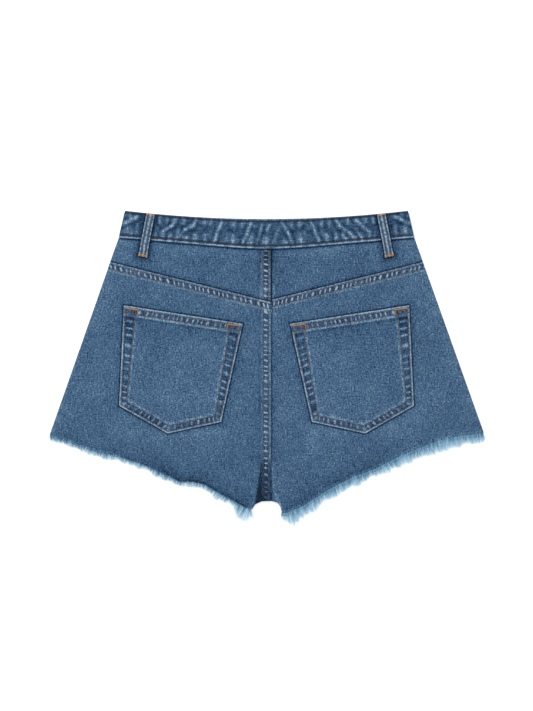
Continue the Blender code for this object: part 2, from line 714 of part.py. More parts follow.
def block(name, bounds, thick, finish):
    """A block on the fly flap's inner face, from plan bounds and a thickness."""
    x0, x1, v0, v1 = bounds
    built = bmesh.new()
    bmesh.ops.create_cube(built, size=1.0)
    bmesh.ops.scale(built, verts=built.verts[:], vec=(x1 - x0, v1 - v0, thick))
    mesh = bpy.data.meshes.new(name)
    built.to_mesh(mesh)
    built.free()
    made = add_object(name, mesh, finish)
    made.location = ((x0 + x1) / 2.0, (LENGTH - v0 - v1) / 2.0, FLY_LAP + thick / 2.0)
    return made


def zip_fastener(name):
    """Tape, chain and slider as one closed solid: the zip stays shut under the fly flap."""
    tape = block(name, TAPE, TAPE_THICK, TAPE_COTTON)
    for part, bounds, thick in (("chain", CHAIN, CHAIN_THICK), ("slider", SLIDER, SLIDER_THICK)):
        added = block(f"zip_{part}_cutter", bounds, thick, BRASS)
        bpy.data.collections[COLLECTION].objects.unlink(added)
        bpy.data.collections[CUTTERS].objects.link(added)
        added.hide_render = True
        added.display_type = "WIRE"
        join = tape.modifiers.new(part, "BOOLEAN")
        join.operation = "UNION"
        join.object = added


def fray(name, sign, hem, lengths, count, fold, level, edge_level, tip_level):
    """A narrow strip along a cut hem, and count tapered locks of thread grown from its outer face.

    The strip is a grid of two rows, thickened; each lock is one of its end faces drawn out ring by ring.
    """
    rng = np.random.default_rng(SEED + count + int(sign))
    hem = np.array(hem)
    lengths = np.array(lengths)
    bounds = np.linspace(STRIP_ENDS[0], STRIP_ENDS[1], count + 1)
    widths = np.diff(bounds)
    starts = bounds[:-1] + widths * (1.0 - LOCK_SHARE) * rng.uniform(*LOCK_SHIFTS, count)
    stops = starts + widths * LOCK_SHARE
    a = np.sort(np.concatenate([bounds[[0, -1]], starts, stops]))
    v = np.interp(a, hem[:, 0], hem[:, 1])
    slope = np.pad(np.gradient(v, a), SLOPE_SPAN // 2, mode="edge")
    slope = np.convolve(slope, np.ones(SLOPE_SPAN) / SLOPE_SPAN, mode="valid")
    turn = np.arctan(slope) * THREAD_TURN
    out_a, out_v = -np.sin(turn), np.cos(turn)
    rise = fold_rise(HEM_HALF - a, fold)
    z = edge_level + (level(sign * a, v) - edge_level) * rise
    inner = placed(sign * (a + out_a * GAP), v + out_v * GAP, z)
    outer = placed(sign * (a + out_a * (GAP + STRIP_WIDTH)), v + out_v * (GAP + STRIP_WIDTH), z)
    points = np.stack([inner, outer])
    built = grid(points[:, ::-1] if sign < 0 else points)
    bmesh.ops.solidify(built, geom=built.faces[:], thickness=STRIP_WALL)
    bmesh.ops.recalc_face_normals(built, faces=built.faces[:])
    middles = (starts + stops) / 2.0
    for middle, face in zip(middles, lock_faces(built, middles, a, outer)):
        length = np.interp(middle, lengths[:, 0], lengths[:, 1]) * rng.uniform(*LOCK_LENGTHS)
        lean = rng.uniform(-LOCK_LEAN, LOCK_LEAN)
        aim = np.array((np.interp(middle, a, out_a) + lean, np.interp(middle, a, out_v)))
        aim = aim / np.hypot(*aim) * (length - STRIP_WIDTH)
        grow_lock(built, face, np.array((sign * aim[0], -aim[1], 0.0)), tip_level)
    mesh = bpy.data.meshes.new(name)
    built.to_mesh(mesh)
    built.free()
    add_object(name, mesh, FRAY)


def lock_faces(built, middles, a, outer):
    """The strip's outer end face nearest the middle of each lock."""
    targets = np.stack([np.interp(middles, a, outer[:, axis]) for axis in range(2)], axis=-1)
    sides = [face for face in built.faces if abs(face.normal.z) < END_FACE_TILT and face.normal.y < 0.0]
    centres = np.array([face.calc_center_median() for face in sides])[:, :2]
    return [sides[np.argmin(np.linalg.norm(centres - target, axis=1))] for target in targets]


def grow_lock(built, face, reach, tip_level):
    """Draws a face out along reach, tapering ring by ring, and lets it sink towards tip_level."""
    root = np.array(face.calc_center_median())
    for share, scale in LOCK_RINGS:
        face = bmesh.ops.extrude_discrete_faces(built, faces=[face])["faces"][0]
        centre = np.array(face.calc_center_median())
        target = root + reach * share
        target[2] = root[2] + (tip_level - root[2]) * share**LOCK_SINK
        for vertex in face.verts:
            vertex.co = target + (np.array(vertex.co) - centre) * scale


def main():
    for old in list(bpy.data.objects):
        bpy.data.objects.remove(old)
    for name in (COLLECTION, CUTTERS):
        bpy.context.scene.collection.children.link(bpy.data.collections.new(name))
    waistband("waistband")
    waist_button("waist_button")
    fly_shield("fly_shield")
    zip_fastener("zip")
    for side, sign in (("left", -1.0), ("right", 1.0)):
        back_panel(f"back_panel_{side}", sign)
        yoke(f"yoke_{side}", sign)
        front_panel(f"front_panel_{side}", sign)
        pocket(f"back_pocket_{side}", sign)
        ends = BACK_LOOP_LEFT if sign < 0 else BACK_LOOP_RIGHT
        belt_loop(f"belt_loop_back_{side}", sign, ends, back_loop_level)
        front_loop(f"belt_loop_front_{side}", sign)
        lengths = FRAY_LEFT if sign < 0 else FRAY_RIGHT
        fray(
            f"fray_back_{side}",
            sign,
            back_hem(sign),
            lengths,
            BACK_LOCKS,
            BACK_FOLD,
            lambda x, v: back_level(x, v) - (CLOTH - STRIP_WALL) / 2.0,
            FOLD_LEVEL,
            BACK_TIP_LEVEL,
        )
        fray(
            f"fray_front_{side}",
            sign,
            front_hem(sign),
            lengths,
            FRONT_LOCKS,
            FRONT_FOLD,
            lambda x, v: front_level(x, v) + GAP + STRIP_WALL,
            FOLD_LEVEL - FOLD_GAP,
            FRONT_TIP_LEVEL,
        )


main()
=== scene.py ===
"""Denim shorts with cut, frayed hems, laid flat with the back up: the finished cloth, sewing and threads.

Metres, +Z up, +Y towards the waist and +X towards the wearer's right. Cloth is placed by its plan: x across
from the centre seam, and v, the drop below the line between the two waist corners. On one half of the
shorts, a is the distance out from the centre seam towards that half's own side. sign is -1 on the left half
and 1 on the right. Every cloth piece is a grid: rows run down from the waist, columns run across.
"""

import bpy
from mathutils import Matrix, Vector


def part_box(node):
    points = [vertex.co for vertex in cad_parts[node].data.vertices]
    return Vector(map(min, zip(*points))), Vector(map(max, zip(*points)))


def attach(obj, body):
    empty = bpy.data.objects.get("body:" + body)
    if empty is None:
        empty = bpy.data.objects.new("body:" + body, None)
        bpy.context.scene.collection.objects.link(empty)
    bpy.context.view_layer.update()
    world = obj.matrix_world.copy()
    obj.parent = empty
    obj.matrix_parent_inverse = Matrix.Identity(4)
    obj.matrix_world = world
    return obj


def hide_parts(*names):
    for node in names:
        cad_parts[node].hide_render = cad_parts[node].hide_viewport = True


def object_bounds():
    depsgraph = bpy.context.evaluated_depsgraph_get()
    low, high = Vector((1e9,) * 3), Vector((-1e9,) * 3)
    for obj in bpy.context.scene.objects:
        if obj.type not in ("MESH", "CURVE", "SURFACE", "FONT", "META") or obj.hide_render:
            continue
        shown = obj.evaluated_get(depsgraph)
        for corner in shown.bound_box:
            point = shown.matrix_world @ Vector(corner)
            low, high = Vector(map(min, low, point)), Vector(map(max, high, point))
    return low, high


bl_info = {
    "name": "Denim Shorts",
    "version": (1, 0, 0),
    "blender": (4, 5, 0),
    "location": "View3D > Sidebar > Shorts",
    "description": "Builds the cloth, sewing and frayed hems of a pair of denim shorts",
    "category": "Object",
}

import bpy
import numpy as np

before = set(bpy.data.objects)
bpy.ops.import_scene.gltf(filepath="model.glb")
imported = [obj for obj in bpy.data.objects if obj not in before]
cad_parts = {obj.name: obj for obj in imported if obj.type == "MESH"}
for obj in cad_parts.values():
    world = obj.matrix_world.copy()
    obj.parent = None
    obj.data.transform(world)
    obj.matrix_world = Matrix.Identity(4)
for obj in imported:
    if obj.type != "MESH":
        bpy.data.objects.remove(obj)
CAD_LOW, CAD_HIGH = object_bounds()

BODY = "root"
SIDES = (("left", -1.0), ("right", 1.0))
MM = 0.001
TONED = (MM, MM, MM, MM, 1.0)


def table(*rows, units=MM):
    """Rows of numbers, each times its column's unit."""
    return units * np.array(rows)


# The cut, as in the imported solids
WAIST_LINE = CAD_HIGH.y
HEM_HALF = CAD_HIGH.x
BAND_LOW_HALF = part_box("waistband")[1].x
WAIST_HALF = 0.184
BAND_DROP = 0.03575
HEM_DROP = 0.2925
SEAM_DROP = 0.117
SEAM_SLOPE = 0.2494
SEAM_SLANT = np.sqrt(1.0 + SEAM_SLOPE**2)
SIDE_SLOPE = (HEM_HALF - BAND_LOW_HALF) / (HEM_DROP - BAND_DROP)
# Half width of the shorts where the yoke's seam meets the side line
SEAM_SIDE = (BAND_LOW_HALF + SIDE_SLOPE * (SEAM_DROP - BAND_DROP)) / (1.0 + SIDE_SLOPE * SEAM_SLOPE)
BACK_SAG = (0.0108, 0.01145, 0.0042)  # upper and lower edge of the waistband, and the lower one's bow
FRONT_SAG = (0.0220, 0.0225, 0.0)
BOW_HALF = 0.075
BOW_RISE = 0.285
CENTRE_EDGE = 0.0066  # the left half's folded edge, past the centre
GAP = 0.0003
BAND_DEPTH = 0.0364
ROLLED_HALF = 0.080  # half the length over which the band's upper edge rolls forward
BESIDE_SEAM = 0.0156  # depth of the fine rows beside the upper edge of a leg panel
YOKE_COLUMNS = (20, 120)
RAGGED = 0.0005
SIDE_STRIP = 0.030

# Walls and levels
BAND_WALL = 0.0018
LOOP_WALL = 0.0016
SHIELD_WALL = 0.0010
BACK_LEVEL = 0.0058
FOLD_LEVEL = 0.0026
FOLD_GAP = 0.0006
BACK_FOLD = 0.0040
FRONT_FOLD = 0.0022
SEAM_WAVE = (0.0002, 0.045)
BAND_STEP = 0.0012
BAND_BEND = 0.0034
FELL_RISE = 0.0009
FELL_WIDTH = 0.0126
FELL_END = 0.0012
CENTRE_FELL_LEFT = 0.0060
WAVE_HEIGHT = 0.00022
WAVE_LENGTHS = (0.150, 0.190)
CREST_SPREAD = 1.38
FRONT_CLEAR = 0.00035  # the front's face above the surface, so that its threads just touch it
FRONT_LOOP_LEVEL = FRONT_CLEAR * 0.7

# A reach is where a fall starts, and the run over which it ends
BUTTON_DROP = 0.040
BUTTON_LIFT = 0.00185
BUTTON_LIFT_REACH = (0.0095, 0.022)
BUTTON_BUMP = 0.0024
BUTTON_BUMP_REACH = (0.012, 0.040)
BAND_END = 0.018
BAND_LAP = 0.0021
BAND_LAP_REACH = (0.019, 0.014)

FLY_EDGE = 0.008
FLY_UNDER = 0.001
FLY_LAP = 0.0015
FLY_LAP_RUN = 0.004
FLY_OUT = (0.235, 0.030)  # drops over which the right half's edge comes out from under the left
FLY_FLAT = (0.300, 0.030)  # drops over which both halves come level
SHIELD = (-0.026, 0.012, 0.061, 0.240)  # sides in x, then its upper and lower drop
SHIELD_LEVEL = 0.0031
FLY_ROWS = (0.0, 0.0064)
FLY_REACH = 0.040
FLY_BEND = 0.195  # drop where its rows bend inwards
FLY_BEND_DEPTH = 0.052
FRONT_SEAM = (0.252, 0.3725)  # drops between which the seam below the fly is sewn

# Turned outline of the button: radius and depth on the tack's foot, the shank's lower end, then distance
# in from the rim and level on the head
BUTTON_FOOT = table((0, 0), (4, 0), (5.6, 0.1), (6, 0.3), (5.8, 0.6), (2.4, 0.6))
BUTTON_SHANK = table(2.4, 1.5)
BUTTON_HEAD = table(
    (0.8, 1.5), (0.2, 1.3), (0, 0.9), (0.1, 0.4), (0.6, 0), (1.2, 0), (1.8, 0.4), (2.4, 0.5), (4, 0.3),
    (6, 0.1),
)
ZIP_CENTRE = -0.0065
ZIP_TOOTH = (0.0032, 0.0009, 0.0010)
ZIP_SLIDER = ((0.0080, 0.0105, 0.0012), (0.0044, 0.0045, 0.0009))
TAPE_WALL = 0.0006

LOOP_HALF = 0.0055
LOOP_SLACK = 0.0007
LOOP_OVER_PUCKERS = 0.0004
LOOP_STEP = (0.0020, 0.0095)  # reach of the step down from the band to the yoke
BACK_LOOPS = {-1.0: table((150.2, 4.2), (160.8, 60)), 1.0: table((148.6, 4.2), (159.6, 60))}
LOOP_FLARE = 0.14
FRONT_LOOP = table((104, 19), (111, 75))
LOOP_LIFT = 0.00210
LOOP_LIFT_REACH = (0.0085, 0.014)

# Patch pocket corners, as (a, v), round from the outer top corner
POCKET = table((185.2, 122.5), (30.5, 146.6), (58.7, 274.2), (128.2, 289.3), (191.4, 253.2))
POCKET_HEM = 0.0135
POCKET_HEM_RISE = 0.0005
POCKET_LIFT = 0.0016
POCKET_TURN = 0.0100  # width of the edges turned under

# Waistband puckers across the back: x at the upper edge, x at the lower edge, half width, height
PUCKERS = table(
    (-169, -180, 5.5, 0.4), (-133, -144, 5, 0.45), (-113, -133, 6, 0.5), (-93, -113, 5.5, 0.6),
    (-79, -89, 4, 0.35), (-59, -68, 4.5, 0.6), (-43, -50, 5, 0.35), (-21.5, -32, 4.5, 0.6),
    (-8.5, -19, 4, 0.45), (5, -12, 4.5, 0.5), (20, 31, 4.5, 0.6), (37, 46, 5, 0.35), (57, 67, 4.5, 0.6),
    (74, 83, 4.5, 0.4), (90, 113, 5.5, 0.6), (109, 129, 6, 0.5), (129, 140, 5, 0.45), (166, 176, 5.5, 0.4),
)

# Faded crests on the back of the waistband: x and share of its depth where each starts, then where it
# ends, half width, and how faded it is
CRESTS = table(
    (-166.9, 0.16, -185.5, 0.45, 1.4, 1), (-176, 0.07, -176.4, 0.22, 1.3, 0.45),
    (-180.2, 0.54, -180.4, 0.75, 2.1, 0.5), (-167.8, 0.43, -168.2, 0.75, 1.2, 0.5),
    (-173.5, 0.59, -174.8, 0.8, 1.6, 0.3), (-137.9, 0.07, -138.6, 0.3, 1.2, 0.7),
    (-141.7, 0.5, -144.9, 0.79, 1.2, 0.35), (-128.7, 0.08, -128.7, 0.28, 1, 0.45),
    (-116.6, 0.1, -122.9, 0.37, 1.4, 0.75), (-122.9, 0.37, -136.8, 0.62, 1.3, 0.7),
    (-133.2, 0.59, -134.2, 0.79, 1.2, 0.55), (-108.3, 0.09, -108, 0.24, 1.6, 0.5),
    (-114, 0.5, -118.6, 0.84, 1.2, 0.6), (-124.5, 0.71, -125.8, 0.87, 1.7, 0.65),
    (-94.4, 0.28, -105.6, 0.47, 1.4, 0.8), (-105.6, 0.47, -116, 0.83, 1.3, 0.6),
    (-104.3, 0.73, -105, 0.86, 1.6, 0.6), (-91, 0.07, -96.7, 0.39, 1.4, 0.75),
    (-79.9, 0.1, -80.7, 0.24, 1.6, 0.5), (-72.5, 0.08, -73.3, 0.23, 1.7, 0.6),
    (-92, 0.63, -92.6, 0.86, 1.7, 0.6), (-80.1, 0.56, -80.1, 0.84, 1.3, 0.6),
    (-58.6, 0.11, -68.4, 0.87, 1.3, 0.85), (-56.6, 0.18, -58.5, 0.36, 1.6, 0.4),
    (-73.5, 0.52, -75.4, 0.66, 1.6, 0.3), (-41.9, 0.15, -42.6, 0.29, 1.9, 0.55),
    (-31.7, 0.15, -32.5, 0.27, 1.6, 0.5), (-51.2, 0.55, -52.5, 0.8, 1.7, 0.45),
    (-43.4, 0.61, -44.2, 0.86, 2.5, 0.65), (-19.6, 0.13, -30.4, 0.85, 1.3, 0.85),
    (-15.6, 0.19, -16.1, 0.29, 1.6, 0.35), (-20, 0.6, -20.3, 0.88, 2.5, 0.65),
    (-5.8, 0.21, -12.7, 0.88, 1.2, 0.7), (3.6, 0.21, 0.5, 0.45, 1.4, 0.75),
    (-0.3, 0.69, -1.9, 0.88, 3.1, 0.55), (19.6, 0.12, 28.6, 0.51, 1.4, 0.8),
    (28.6, 0.51, 33.1, 0.89, 1.3, 0.8), (17.8, 0.27, 12.3, 0.58, 1.3, 0.45),
    (12.3, 0.58, 9.5, 0.88, 1.3, 0.5), (22.7, 0.78, 26, 0.89, 1.8, 0.6),
    (30.8, 0.17, 31.5, 0.28, 1.9, 0.55), (42.1, 0.14, 43.3, 0.29, 1.7, 0.6),
    (44.2, 0.58, 44.6, 0.85, 2.6, 0.6), (49.4, 0.49, 52.6, 0.64, 1.6, 0.35),
    (54.3, 0.25, 54.9, 0.32, 1.7, 0.4), (57.5, 0.12, 68.6, 0.84, 1.3, 0.85),
    (71.5, 0.1, 72.3, 0.27, 1.6, 0.5), (79.7, 0.09, 81.9, 0.28, 1.7, 0.5),
    (73.5, 0.54, 78.4, 0.63, 2.1, 0.45), (78.6, 0.67, 79.7, 0.83, 1.7, 0.55),
    (90.1, 0.61, 91.4, 0.81, 1.4, 0.65), (89.7, 0.09, 94.9, 0.33, 1.4, 0.8),
    (94.9, 0.33, 108.4, 0.61, 1.4, 0.7), (108.4, 0.61, 114.9, 0.82, 1.4, 0.75),
    (105, 0.1, 105.9, 0.2, 1.7, 0.5), (115.8, 0.14, 124.3, 0.39, 1.4, 0.75),
    (126.1, 0.44, 133.5, 0.59, 1.4, 0.7), (133.5, 0.61, 134, 0.79, 1.3, 0.55),
    (120.5, 0.63, 124.3, 0.84, 1.3, 0.7), (99.2, 0.62, 103.9, 0.83, 1.6, 0.65),
    (127.9, 0.14, 127.9, 0.27, 1.3, 0.4), (137.3, 0.09, 139.1, 0.29, 1.2, 0.8),
    (166, 0.14, 175.4, 0.3, 1.3, 0.8), (175.4, 0.3, 187.3, 0.45, 1.4, 1),
    (174.9, 0.08, 174.9, 0.2, 1.6, 0.45), (166.9, 0.49, 168.9, 0.8, 1.3, 0.6),
    (179.9, 0.58, 180.4, 0.76, 2.6, 0.6),
    units=(MM, 1.0, MM, 1.0, MM, 1.0),
)

# Folds of the back: x, v, half width and height where each starts, then where it ends
FOLDS = table(
    (-5.8, 326, 1.6, 0, -9.8, 381, 4, -1), (-13, 318, 4, 0, -20, 384, 5, 0.4),
    (10, 312, 3, 0, 16, 381, 4.5, 0.5), (-30, 345, 12, 0.3, -130, 322, 16, 0),
    (30, 345, 12, 0.3, 130, 318, 16, 0),
)

# Softer creases laid over the folds, in the same columns: first the back, then the front
BACK_CREASES = table(
    (-205, 128, 9, 0.25, -230, 214, 14, 0), (-216, 205, 11, -0.2, -244, 276, 16, 0.1),
    (-128, 292, 4, -0.3, -122, 335, 9, 0), (-48, 300, 9, 0.25, -90, 330, 12, 0),
    (-175, 268, 8, -0.15, -215, 296, 12, 0), (-18, 135, 5, 0.15, -22, 250, 8, 0),
    (203, 126, 8, 0.22, 226, 200, 13, 0), (221, 214, 12, -0.22, 238, 270, 15, 0.12),
    (129, 294, 4.5, -0.28, 137, 322, 10, 0), (52, 304, 8, 0.22, 98, 326, 13, 0),
    (180, 266, 9, 0.15, 215, 282, 12, 0), (20, 140, 6, 0.14, 25, 262, 9, 0),
)
FRONT_CREASES = table(
    (-30, 260, 5, 0.3, -105, 232, 9, 0), (-26, 285, 6, 0.35, -120, 276, 11, 0),
    (-24, 312, 5, 0.3, -80, 322, 9, 0.05), (-195, 90, 8, 0.25, -150, 150, 12, 0),
    (-210, 170, 10, 0.2, -230, 250, 14, 0), (32, 254, 5.5, 0.32, 98, 222, 9, 0),
    (28, 282, 6, 0.32, 128, 270, 12, 0), (26, 316, 5, 0.28, 84, 318, 8, 0.05),
    (190, 96, 8, 0.22, 148, 142, 11, 0), (214, 176, 11, 0.2, 228, 246, 14, 0),
)

# Cut edges of the legs, as (a, v); up to LEG_CORNER they are folded seams
BACK_HEMS = {
    -1.0: table(
        (-6.6, 377), (4.5, 377.2), (6.2, 377.5), (8.8, 378.7), (11.8, 380), (15, 381.8), (19, 388.5),
        (23.5, 388), (37.7, 379.6), (61.6, 366.7), (79.6, 355.8), (95.6, 351.8), (111.4, 351.8),
        (137.3, 340), (161.1, 328.9), (195, 318), (220.9, 313), (254.7, 300), (HEM_HALF / MM, 293.2),
    ),
    1.0: table(
        (6.9, 377.2), (10.5, 377.8), (15, 379.5), (18, 385), (20.2, 392.5), (25, 392.8), (46, 383.9),
        (62.3, 373.6), (80.5, 361.4), (98.8, 352.3), (117.1, 343.2), (143.5, 334.1), (167.8, 320.8),
        (198.3, 307.7), (224.8, 297.4), (249, 292.5), (HEM_HALF / MM, 288.3),
    ),
}
FRONT_HEMS = {
    -1.0: table(
        (-FLY_EDGE / MM, 377), (6, 377.5), (11.8, 380), (15, 381.8), (19, 387), (24, 385), (37.7, 376.5),
        (61.6, 363.7), (95.6, 349), (137.3, 337.5), (161.1, 326), (195, 315), (220.9, 309.5),
        (254.7, 297.5), (HEM_HALF / MM, 291.2),
    ),
    1.0: table(
        ((FLY_EDGE + GAP) / MM, 377.2), (10.3, 377.7), (12.6, 378.5), (15, 379.5), (18, 385), (20.2, 389.5),
        (25, 389.5), (46, 380.9), (62.3, 370.6), (98.8, 349.3), (143.5, 331.1), (167.8, 317.8),
        (198.3, 304.7), (224.8, 294.9), (HEM_HALF / MM, 286.8),
    ),
}
LEG_CORNER = 0.0205

# Painted highlight along the ridge beside the crotch on the right half: drops, and places across
CROTCH_RIDGE = table((318, 337, 350, 363, 372, 382, 395), (7.2, 7.4, 8, 9.8, 13, 17.6, 20.6))

# Tones along the centre seam: place across, half width, drops between which it lies, tone
# The narrow dark lines beside the fell's edge, and down into the crotch, are painted shadow
CENTRE_TONES = table(
    (-8.5, 4.2, 46, 67, -0.2), (-0.3, 3.4, 46, 67, -0.16), (8.2, 1.6, 46, 67, -0.5),
    (13.5, 2, 46, 67, -0.16), (-10.8, 2, 67, 96, -0.2), (-7.2, 1, 67, 96, 0.15), (5.6, 0.9, 46, 119, -0.9),
    (3.6, 1, 68, 119, 0.32), (-8.2, 2.2, 96, 118, 0.4), (-2, 2.6, 96, 118, 0.42), (9.3, 1.8, 96, 118, 0.38),
    (-1.5, 3.2, 120, 132, 0.3), (10, 4.5, 132, 157, 0.14), (-3, 2.6, 132, 157, 0.18),
    (-1, 3, 157, 318, 0.13), (6, 0.7, 132, 320, -0.5), (4, 0.9, 132, 320, 0.14), (4.6, 0.9, 322, 382, -1.1),
    (6.4, 0.7, 322, 366, 0.5), (3.2, 0.9, 318, 378, 0.5),
    units=TONED,
)

# Broad lighter and darker patches of the leg panels and of the pockets: place across, drop, half width, half
# # height, tone. The two darker patches either side of the centre seam at the crotch are painted shade
PANEL_PATCHES = table(
    (-215, 245, 20, 24, 0.08), (-105, 286, 62, 11, 0.17), (-233, 178, 18, 28, -0.12),
    (-17, 313, 10, 20, -0.22), (11, 315, 8, 24, -0.12), (156, 283, 28, 13, 0.2), (95, 285, 48, 11, 0.14),
    (57, 290, 11, 48, 0.16), (200, 255, 24, 28, 0.17),
    units=TONED,
)
YOKE_PATCHES = table(
    (-95, 54, 30, 7.5, 0.14), (75, 54, 36, 7.5, 0.14), (-165, 64, 14, 14, -0.1), (-23, 80, 9, 26, -0.07),
    units=TONED,
)
POCKET_PATCHES = table(
    (120, 154, 70, 16, -0.15), (95, 198, 40, 26, 0.06), (100, 242, 50, 24, 0.07), (175, 142, 10, 9, -0.3),
    (184, 175, 7, 17, 0.24),
    units=TONED,
)

# Fraying: place across, and length of the threads there
FRAYS = {
    -1.0: table(
        (19.5, 11), (24, 16), (29, 20.5), (34, 14.5), (37.5, 7.2), (44, 6.4), (53, 7.6), (64, 8),
        (73.5, 4.8), (85, 6.8), (111, 5.5), (142, 7.4), (149, 5.2), (156, 3), (164, 6.4), (197, 5),
        (207, 7.8), (221, 5.2), (240, 6.4), (260.7, 4.6), (281, 5.2),
    ),
    1.0: table(
        (20.5, 6.5), (34, 19.5), (46, 14), (81, 12.2), (117, 11.8), (142, 8.8), (166, 13.4), (182, 11.8),
        (198, 13.6), (225, 15.8), (249, 13.2), (270, 12), (281, 9.8),
    ),
}
STRIP_ENDS = (0.0200, HEM_HALF - 0.0006)
LOCKS = {-1.0: (0.36, 0.0027, 0.0034), 1.0: (0.22, 0.0021, 0.0044)}  # raggedness, pitch, lap on the cloth
STRIP_DEPTHS = {-1.0: 0.0013, 1.0: 0.0030}
STRIP_CELLS = 66
STRIP_WALL = 0.0004
STRIP_THINNING = table(0, 0, 0.1, 0.2, 0.3)
THREAD_TURN = 0.55  # how far threads turn with the hem: 1 is square to it
THREAD_FLOOR = 0.0001
ROOTED_INSIDE = 0.48  # share of the back's threads that start on the cloth
ROOT_OUT = 0.0006
SINK_REACH = 0.009  # length from which a thread comes down to the level of the tips
FINE = 0.0002  # below this width a fibre curls more
WISP = 0.0012  # width of a few yarns that share a tone
LONGEST = 1.28  # longest thread, as a share of the length in FRAYS
FIBRE_SHARES = np.array((0.0, 0.22, 0.46, 0.72, 0.93))
FIBRE_TAPER = np.array((1.0, 0.95, 0.80, 0.55, 0.28))

# Rows of stitching: distances in from a folded edge
YOKE_ROWS = (0.0029, 0.0091)
CENTRE_ROWS = (0.0040, 0.0109)
CENTRE_ROW_ENDS = (0.3732, 0.3722)  # drops at the crotch
POCKET_HEM_ROWS = (0.0035, 0.0099)
POCKET_ROW = 0.0028
POCKET_INNER_ROWS = table((16, 9.4), (9.8, 9.8), (9.8, 9.8), (9.4, 16))  # at both ends of each edge
BAND_ROWS = (0.0017, 0.0050)
LOOP_ROW = 0.0027
SEAM_PAST = 0.0030  # width of the paler line past the second row
SEAM_REACH = 0.0150
TACK_BOX = 0.0160  # length of the box of bar tacks in a pocket's corner
TACK_PITCH = 0.00055
CORNER_WEAR = (0.15, 0.15, 0.55, 0.60, 0.50)  # tones of the pocket's worn corners
ROPE_PITCH = 0.0070
ROPE_RISE = 0.00022
GROOVE = 0.00028
GROOVE_HALF = 0.0007

CELL = 4  # outer cells to one inner cell
TWILL_SLOPE = 0.9
TWILL_PITCH = 0.0011

FLOOR_HALF = 14.0
FLOOR_LEVEL = -0.0002
VIEW_DROP = 0.1879


def length_property(name, description, default):
    """A length in metres."""
    return bpy.props.FloatProperty(
        name=name, description=description, default=default, unit="LENGTH", precision=5
    )


def count_property(name, description, default):
    """A whole number from 1."""
    return bpy.props.IntProperty(name=name, description=description, default=default, min=1)


def colour_property(name, description, default):
    """A colour."""
    return bpy.props.FloatVectorProperty(
        name=name, description=description, subtype="COLOR", size=3, min=0.0, max=1.0, default=default
    )


class ShortsSizes(bpy.types.PropertyGroup):
    """Sizes of the cloth, threads and camera."""
    wall: length_property("Cloth", "Thickness of the denim", 0.0012)
    stitch_pitch: length_property("Stitch pitch", "Length of one stitch with its gap", 0.0034)
    stitch_gap: length_property("Stitch gap", "Gap between stitches", 0.0003)
    thread: length_property("Thread", "Width of the sewing thread", 0.00095)
    yarn: length_property("Yarn", "Width of a frayed yarn", 0.00032)
    fuzz: length_property("Fuzz", "Width of a loose fibre", 0.00016)
    yarns: count_property("Yarns", "Frayed yarns on one hem", 2000)
    fibres: count_property("Fibres", "Loose fibres on one hem", 2200)
    camera_height: length_property("Camera height", "Height of the camera", 3.0)
    view_length: length_property("View", "Length of floor seen from the waist down", 0.9243)


class ShortsColours(bpy.types.PropertyGroup):
    """Colours of the denim, threads and metal."""
    denim: colour_property("Denim", "Washed denim", (0.0528, 0.1155, 0.2065))
    band: colour_property("Waistband", "Denim of the waistband", (0.0500, 0.1060, 0.1850))
    # The darkest denim: painted shade in lines beside edges, under the waistband and in the crotch, and dye
    # kept in creases
    shade_and_crease: colour_property("Crease", "Denim where dye stays in a crease", (0.0055, 0.0130, 0.0275))
    faded: colour_property("Faded", "Denim on a worn ridge", (0.30, 0.42, 0.52))
    inside: colour_property("Inside", "Denim's pale inner face", (0.30, 0.38, 0.45))
    brown: colour_property("Brown thread", "Thread of the waistband", (0.052, 0.040, 0.035))
    tan: colour_property("Tan thread", "Thread of the seams", (0.205, 0.132, 0.052))
    orange: colour_property("Orange thread", "Thread of the bar tacks", (0.56, 0.235, 0.022))
    fray_root: colour_property("Fray root", "Frayed yarn at the cloth", (0.063, 0.142, 0.241))
    fray_middle: colour_property("Fray middle", "Frayed yarn halfway", (0.225, 0.435, 0.590))
    fray_tip: colour_property("Fray tip", "Frayed yarn at its end", (0.49, 0.655, 0.755))
    brass: colour_property("Brass", "Button and zip", (0.50, 0.34, 0.17))
    tape: colour_property("Zip tape", "Cotton of the zip", (0.05, 0.07, 0.11))
    floor: colour_property("Floor", "Plain floor", (0.93, 0.93, 0.93))


# Shader graphs, and functions that take both arrays and their wires


def arithmetic(operation, order=slice(None)):
    """An operator of wires, as a Math node of the two values in the given order."""
    return lambda self, other: self.graph.math(operation, *(self, other)[order])


class Wire:
    """One output of a shader node. Arithmetic on wires adds Math nodes."""

    def __init__(self, graph, socket):
        self.graph = graph
        self.socket = socket

    def __neg__(self):
        return self * -1.0

    __add__ = __radd__ = arithmetic("ADD")
    __mul__ = __rmul__ = arithmetic("MULTIPLY")
    __truediv__ = arithmetic("DIVIDE")
    __sub__ = arithmetic("SUBTRACT")
    __rsub__ = arithmetic("SUBTRACT", slice(None, None, -1))


